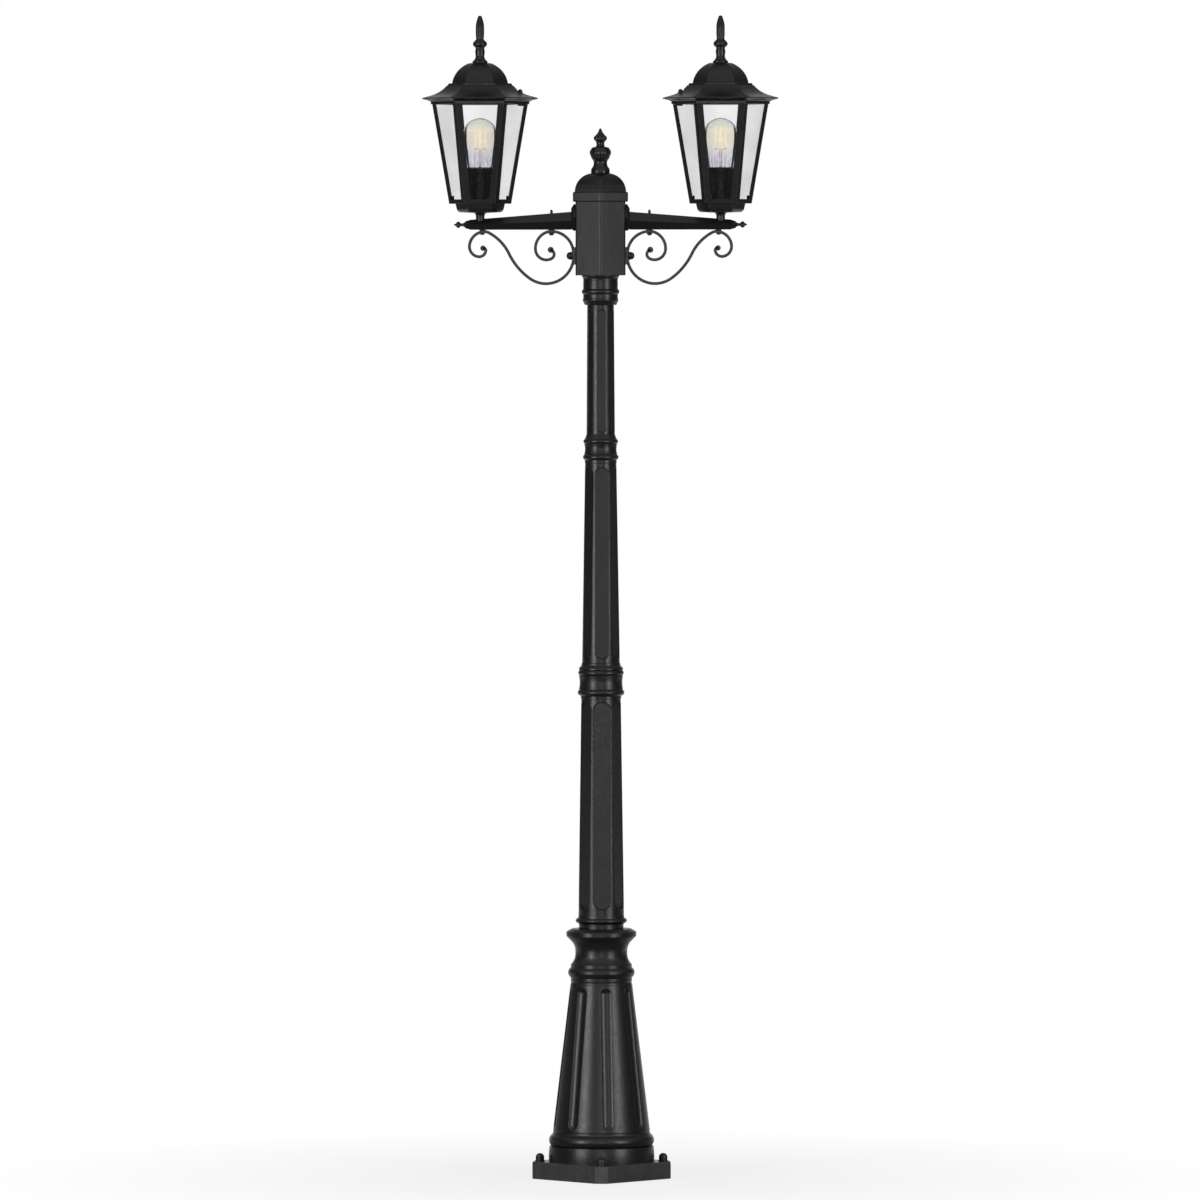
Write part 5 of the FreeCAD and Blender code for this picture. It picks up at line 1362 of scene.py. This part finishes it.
@dataclass(frozen=True)
class LanternBody(SideAssembly):
    """Tray, cage, panes and clips of one lantern, and the stem with its nut."""

    radius: float = 45.9
    height: float = 23.0
    wall: float = 2.5
    bore: float = 4.3

    TRAY: ClassVar = ((0.3, 0.26), (0.828, 0.32, 0.1), (0.948, 0.557), (1.0, 1.0))
    FOOT: ClassVar = ((0.174, 0.0, -0.2), (0.32, 0.29))

    def tray(self) -> Skin:
        """Hexagonal dish on a turned foot, with its bore.

        Returns:
            The skin.
        """
        radius, height, bore = self.radius, self.height, self.bore
        floor = height * 0.45
        dish = outline((
            *moulding(self.TRAY, radius * COS30, height),
            ((radius - self.wall) * COS30, height), ((radius * 0.86 - self.wall) * COS30, floor),
            (bore, floor), (bore, height * 0.26)), 0.6, True)
        foot = ((bore, 0), *moulding(self.FOOT, radius, height), (bore, height * 0.29))
        return Skin().grid(hexagon_lathe(dish, 0, 1.6), close=True).turned(foot, 0.4, close=True)

    def build(self) -> None:
        """Builds the tray and dresses the cage, glass and fixings."""
        word, steel, casting = self.side.word, self.finishes.steel, self.finishes.casting
        tray = self.tray().moved(self.x, z=foot_of(f"tray_{word}"))
        self.show("tray_casting", tray, casting, "tray")
        self.show("lantern_cage", None, casting, "cage", bevel=0.0005)
        self.dress("glass_panes", self.finishes.pane)
        self.dress("glass_clips", steel)
        self.dress("stem", self.finishes.zinc)
        self.show("clamp_nut", None, steel, "stem_nut", bevel=0.0003)


@dataclass(frozen=True)
class Lamp(SideAssembly):
    """Lamp holder with its ribbed sleeve, the socket and the bulb."""

    sleeve_radius: float = 26.35
    sleeve_height: float = 63.0
    sleeve_wall: float = 1.5
    groove_heights: Corner = (46.0, 50.0, 54.0)
    bulb_radius: float = 32.0
    bulb_height: float = 104.0
    glass_wall: float = 1.0
    cap_radius: float = 13.2
    thread: Corner = (6, 22)
    thread_pitch: float = 3.6
    thread_depth: float = 0.9
    filament_circle: float = 9.5
    filament_start: float = 46.0

    BULB: ClassVar = (
        (0.4125, 0.0), (0.44, 0.06, -0.12), (0.735, 0.117, 0.02), (0.94, 0.44, 0.08),
        (1.0, 0.7, 0.19), (0.06, 1.0))
    FILAMENT: ClassVar = ((0, 0), (1.2, 0), (1.2, 44), (0, 44))
    FLARE: ClassVar = (
        (0, 0), (7.2, 0, -0.1), (2.4, 23), (2.4, 46), (11.3, 46), (11.3, 47.8), (0, 47.8))

    def sleeve(self) -> Skin:
        """Sleeve with three fine grooves near its rim, closed down to the disc.

        Returns:
            The skin.
        """
        radius, height, wall, bore = self.sleeve_radius, self.sleeve_height, self.sleeve_wall, 4.3
        grooves = [
            (radius - deep, z + rise) for z in self.groove_heights
            for deep, rise in ((0, -0.7), (0.45, -0.35), (0.45, 0.35), (0, 0.7))]
        return Skin().turned((
            (bore, 0), (radius, 0), *grooves, (radius, height - 3), (radius + 0.3, height - 1.5),
            (radius, height), (radius - wall, height), (radius - wall, 3), (bore, 3)),
            0.4, 72, close=True)

    def glass(self) -> Skin:
        """Blown glass: one profile outside and one a wall's thickness inside it.

        Returns:
            The skin.
        """
        outer = outline(moulding(self.BULB, self.bulb_radius, self.bulb_height), 6.0)
        outer = np.vstack([outer, [[0, self.bulb_height]]])
        along = np.gradient(outer, axis=0)
        along *= self.glass_wall / np.linalg.norm(along, axis=1)[:, None]
        inner = outer + np.stack([-along[:, 1], along[:, 0]], axis=-1)
        inner[0] = outer[0] - [self.glass_wall, 0]
        inner[-1] = [0, self.bulb_height - self.glass_wall]
        inner[:, 0] = np.maximum(inner[:, 0], 0)
        return Skin().grid(lathe(np.vstack([inner[::-1], outer]), ring(96)))

    def screw_cap(self) -> Skin:
        """Screw cap: radius = r - d (1 - cos(2 pi z / pitch - a)) / 2 between rim and foot.

        Returns:
            The skin.
        """
        (start, end), top = self.thread, self.cap_radius
        z, angles = np.linspace(start, end, 65)[:, None], ring(64)
        ease = np.clip(np.minimum(z - start, end - z) / 2, 0, 1)
        wave = 1 - np.cos(TAU * z / self.thread_pitch - angles)
        radius = top - self.thread_depth * wave / 2 * ease
        thread = np.stack([radius * np.cos(angles), radius * np.sin(angles), z + 0 * angles], axis=-1)
        low = lathe(np.array([[0, 0], [5.3, 0], [5.3, 1.9], [11.9, 4.8], [top, start]]), angles)
        high = lathe(np.array([[top, end], [top, 24], [0, 24]]), angles)
        return Skin().grid(np.concatenate([low, thread, high]))

    def filaments(self) -> Skin:
        """Four upright filaments in a ring.

        Returns:
            The skin.
        """
        rods, rod = Skin(), lathe(outline(self.FILAMENT, 0.8), ring(16))
        for angle in ring(4):
            x, y = self.filament_circle * np.cos(angle), self.filament_circle * np.sin(angle)
            rods.grid(rod + np.array([x, y, self.filament_start]))
        return rods

    def build(self) -> None:
        """Builds holder, socket and bulb; the bulb's pieces ride on its own body."""
        word, finishes = self.side.word, self.finishes
        sleeve = self.sleeve().moved(self.x, z=foot_of(f"lamp_holder_{word}"))
        self.show("lamp_sleeve", sleeve, finishes.sleeve, "lamp_holder")
        self.show("lamp_socket_shell", None, finishes.ceramic, "lamp_socket", bevel=0.0004)
        glass_z = foot_of(f"bulb_glass_{word}")
        for name, skin, z, finish, node in (
                ("screw_cap", self.screw_cap(), foot_of(f"bulb_cap_{word}"), finishes.cap, "bulb_cap"),
                ("bulb_shell", self.glass(), glass_z, finishes.bulb, "bulb_glass"),
                ("filament_rods", self.filaments(), glass_z, finishes.filament, "bulb_filaments"),
                ("filament_post", Skin().turned(self.FLARE, 0.4), glass_z, finishes.flare, "")):
            self.show(name, skin.moved(self.x, z=z), finish, node, body="bulb")


@dataclass(frozen=True)
class Roof(SideAssembly):
    """Lantern roof with its finial, and the cap nut in its well."""

    radius: float = 107.4
    height: float = 71.5
    lip: Corner = (78.4, 4)
    wall: float = 3.0
    bore: float = 4.05
    stud: float = 74.0
    stud_bore: float = 2.8
    boss: float = 7.6
    nut_seat: float = 11.5
    nut_room: float = 6.6
    well_top: float = 60.0

    OUTSIDE: ClassVar = (
        (0.866, 0.0, -0.1), (0.912, 0.035), (0.99, 0.066), (1.0, 0.075), (1.0, 0.09), (0.99, 0.1),
        (0.857, 0.154, -0.08), (0.577, 0.413), (0.553, 0.425), (0.553, 0.466),
        (0.484, 0.476, 0.127), (0.205, 0.986), (0.13, 1.0))
    INSIDE: ClassVar = ((0.214, 0.958, -0.127), (0.484, 0.497), (0.559, 0.44), (0.736, 0.203))
    FINIAL: ClassVar = (
        (1.0, 0.0), (1.0, 0.03, -0.12), (0.57, 0.14), (0.64, 0.23), (0.64, 0.26), (0.56, 0.285),
        (0.62, 0.33, 0.32), (0.72, 0.46), (0.5, 0.5, 0.02), (0.55, 0.7, 0.03), (0.49, 0.85),
        (0.37, 0.92), (0.28, 0.965, 0.16), (0.06, 1.0), (0.0, 1.0))
    NUT: ClassVar = ((2.8, 0), (4.3, 0), (4.6, 0.4), (4.6, 5.2), (4.2, 5.7), (2.8, 5.7))
    DOME: ClassVar = ((0, 5.4), (4.2, 5.4), (4.4, 7.2, 0.2), (0, 11.5))

    def shell(self) -> Skin:
        """Outside and inside mouldings carried round the hexagon, joined at lip and crown.

        Returns:
            The skin.
        """
        lip, depth = self.lip[0] * COS30, self.lip[1]
        hollow = [
            ((self.radius * share - self.wall) * COS30, self.height * rise - self.wall, *bulge)
            for share, rise, *bulge in self.INSIDE]
        corners = (
            (lip, -depth), (lip, 0), *moulding(self.OUTSIDE, self.radius * COS30, self.height),
            (self.bore, self.height), (self.bore, hollow[0][1]), *hollow, (hollow[-1][0], -depth))
        return Skin().grid(hexagon_lathe(outline(corners, 0.7, True), 0, 3), close=True)

    def build(self) -> None:
        """Builds the roof with the nut's well cut in, then the finial, stud and nut."""
        word, casting, body = self.side.word, self.finishes.casting, "lantern_roof"
        base = foot_of(f"roof_{word}") + self.lip[1]
        stud_x = self.x - self.stud * self.side.value
        shell = self.shell().moved(self.x, z=base)
        roof = self.show("roof_shell", shell, casting, "roof", body)
        seat, room, inner, outer = self.nut_seat, self.nut_room, self.stud_bore, self.boss
        well = ((0, seat), (room, seat), (room, self.well_top), (0, self.well_top))
        self.cut(roof, Skin().turned(well, 0.01).moved(stud_x, z=base).mesh("well"))
        rim = ((inner, 0), (outer, 0), (outer, seat), (inner, seat))
        boss = Skin().turned(rim, 0.3, close=True).moved(stud_x, z=base)
        self.show("roof_boss", boss, casting, body=body)
        finial = Finial(
            self.FINIAL, radius=14.1, height=87, spigot=(4, 12), reeds=((8, 0.12, 0.5, 0.93),))
        spear = finial.skin(96).moved(self.x, z=base + self.height)
        self.show("roof_spear", spear, casting, "roof_finial", body)
        self.dress("roof_stud", self.finishes.zinc)
        nut = Skin().grid(hexagon_lathe(outline(self.NUT, 0.2, True), 0, 0.4), close=True)
        nut.turned(self.DOME, 0.3, 36).moved(stud_x, z=base + seat)
        self.show("roof_cap_nut", nut, self.finishes.steel, "roof_nut", "roof_nut")

    def cut(self, piece: bpy.types.Object, tool: bpy.types.Mesh) -> None:
        """Cuts a tool's shape out of a piece and keeps the result as its mesh.

        Args:
            piece: The piece that is cut.
            tool: Mesh of the shape to take out.
        """
        cutter = put("well_cutter", tool)
        carve = piece.modifiers.new("Well", "BOOLEAN")
        carve.operation = "DIFFERENCE"
        carve.solver = "EXACT"
        carve.object = cutter
        piece.modifiers.move(len(piece.modifiers) - 1, 0)
        bpy.context.view_layer.update()
        graph = bpy.context.evaluated_depsgraph_get()
        result = bpy.data.meshes.new_from_object(piece.evaluated_get(graph))
        piece.modifiers.remove(carve)
        piece.data = result
        self.finishes.casting.put_on(result)
        bpy.data.objects.remove(cutter)


# Studio


@dataclass(frozen=True)
class Studio:
    """Pale floor, white surround, soft lamps, and the camera at the photograph's angle."""

    distance: float = 20.5
    eye: float = 1.6714
    aim: float = 1.0709
    aside: float = -0.00167
    view_height: float = 2.2179
    roll: float = -0.067
    backdrop: float = 1.0
    room: float = 0.12
    ceiling: float = 0.2
    front_wall: float = 1.0
    skylight: float = 0.75
    daylight: float = 0.25

    LAMPS: ClassVar = (
        ("left_window", (-2.99, -3.09, 1.1), (0, 0, 1.1), (1.3, 2.6), 125),
        ("right_window", (2.99, -3.09, 1.1), (0, 0, 1.1), (1.3, 2.6), 98),
        ("front_window", (0, -24, 2.6), (0, 0, 1.4), (7, 4.2), 420))

    def rays(self, wiring: Wiring, mirrored: Socket) -> tuple[Socket, Socket]:
        """White for camera and glass rays, and a strength of its own for mirror rays.

        Args:
            wiring: Tree that the nodes go to.
            mirrored: Strength that mirror rays see.

        Returns:
            The strength, and the share of rays that see it.
        """
        ray = wiring.add("LightPath").outputs
        seen = wiring.pair("MAXIMUM", ray["Is Camera Ray"], ray["Is Transmission Ray"])
        straight = wiring.span(ray["Glossy Depth"], 1, 0, 0, 1)
        unscattered = wiring.span(ray["Diffuse Depth"], 1, 0, 0, 1)
        strength = wiring.pair("MAXIMUM", wiring.pair("MULTIPLY", seen, straight), mirrored)
        shown = wiring.pair("MAXIMUM", seen, ray["Is Glossy Ray"])
        return strength, wiring.pair("MULTIPLY", shown, unscattered)

    def floor(self) -> None:
        """Pale round floor; far from the post it fades to the white of the surround."""
        disc = Skin().grid(lathe(np.array([[0, 0], [1500, 0], [6000, 0]]), ring(64)))
        piece = put("floor", disc.mesh("floor"))
        bench = Bench("pale_floor")
        bench.fill(bench.shader, {
            "Base Color": (0.82, 0.82, 0.82, 1), "Roughness": 0.9, "Specular IOR Level": 0.1})
        behind = bench.span(bench.axes("Object")["Y"], self.room, self.backdrop, 0.1, 1.5)
        strength, share = self.rays(bench, behind)
        reach = bench.add("VectorMath", {0: bench.places["Object"]})
        reach.operation = "LENGTH"
        fade = bench.span(reach.outputs["Value"], 0.8, 1.0, 0.25, 1.2)
        glow = bench.add("Emission", {"Color": (1, 1, 1, 1), "Strength": strength})
        mix = bench.add("MixShader", {
            0: bench.pair("MULTIPLY", share, fade), 1: bench.shader.outputs["BSDF"],
            2: glow.outputs["Emission"]})
        bench.fill(bench.output, {"Surface": mix.outputs[0]})
        piece.data.materials.append(bench.material)

    def surround(self) -> None:
        """White where camera, mirror or glass rays see it, a plain pale light elsewhere."""
        world = bpy.data.worlds.new("surround")
        bpy.context.scene.world = world
        world.use_nodes = True
        wiring = Wiring(world.node_tree)
        span, pair = wiring.span, wiring.pair
        _, y, z = wiring.axes("Generated").values()
        behind = span(y, 0, self.backdrop - self.room, 0.8, 0.96)
        front = span(y, 0, self.front_wall - self.room, -0.9, -0.98)
        heights = pair("MULTIPLY", span(z, 1, 0, 0.25, 0.5), span(z, 0, 1, -0.2, -0.08))
        walls = pair("MULTIPLY", pair("ADD", behind, front), heights)
        above = span(z, self.room, self.room + self.ceiling, 0.2, 0.9)
        sky = pair("MULTIPLY", span(y, 0, self.skylight, 0.3, -0.4), span(z, 0, 1, 0.25, 0.45))
        strength, share = self.rays(wiring, pair("ADD", pair("ADD", walls, above), sky))
        plain, white = (
            wiring.add("Background", {"Color": (1, 1, 1, 1), "Strength": value}).outputs[0]
            for value in (self.daylight, strength))
        mix = wiring.add("MixShader", {0: share, 1: plain, 2: white})
        wiring.add("OutputWorld", {"Surface": mix.outputs[0]})

    def lamp(self, name: str, spot: Corner, target: Corner, size: Corner, power: float) -> None:
        """Adds a rectangular soft lamp.

        Args:
            name: Its name.
            spot: Its place in metres.
            target: The point that it faces.
            size: Its width and height.
            power: Its power in watts.
        """
        light = bpy.data.lights.new(name, "AREA")
        light.shape = "RECTANGLE"
        light.size, light.size_y = size
        light.energy = power
        lamp = put(name, light)
        lamp.location = spot
        lamp.rotation_euler = (Vector(target) - Vector(spot)).to_track_quat("-Z", "Y").to_euler()
        lamp.visible_camera = lamp.visible_transmission = False

    def camera(self) -> None:
        """Long lens from the photograph's distance and eye height."""
        lens = bpy.data.cameras.new("camera")
        lens.sensor_width = 36
        eye = Vector((self.aside, -self.distance, self.eye))
        way = Vector((self.aside, 0, self.aim)) - eye
        lens.lens = lens.sensor_width * way.length / self.view_height
        lens.clip_end = 200
        camera = put("camera", lens)
        roll = Matrix.Rotation(np.radians(self.roll), 3, "Z")
        turn = way.to_track_quat("-Z", "Y").to_matrix() @ roll
        camera.matrix_world = Matrix.Translation(eye) @ turn.to_4x4()
        bpy.context.scene.camera = camera

    def build(self) -> None:
        """Sets up camera, floor, surround and lamps."""
        self.camera()
        self.floor()
        self.surround()
        for lamp in self.LAMPS:
            self.lamp(*lamp)
        bpy.context.scene.view_settings.view_transform = "Standard"


def main() -> None:
    """Builds the lamp post piece by piece and sets up the studio."""
    logging.basicConfig(level=logging.INFO, format="%(name)s: %(message)s")
    finishes = Finishes()
    Studio().build()
    for part in (Post, Head):
        part(finishes).build()
    for side in Side:
        for part in (Arm, Bracket, LanternBody, Lamp, Roof):
            part(finishes, side).build()


if __name__ == "__main__":
    main()
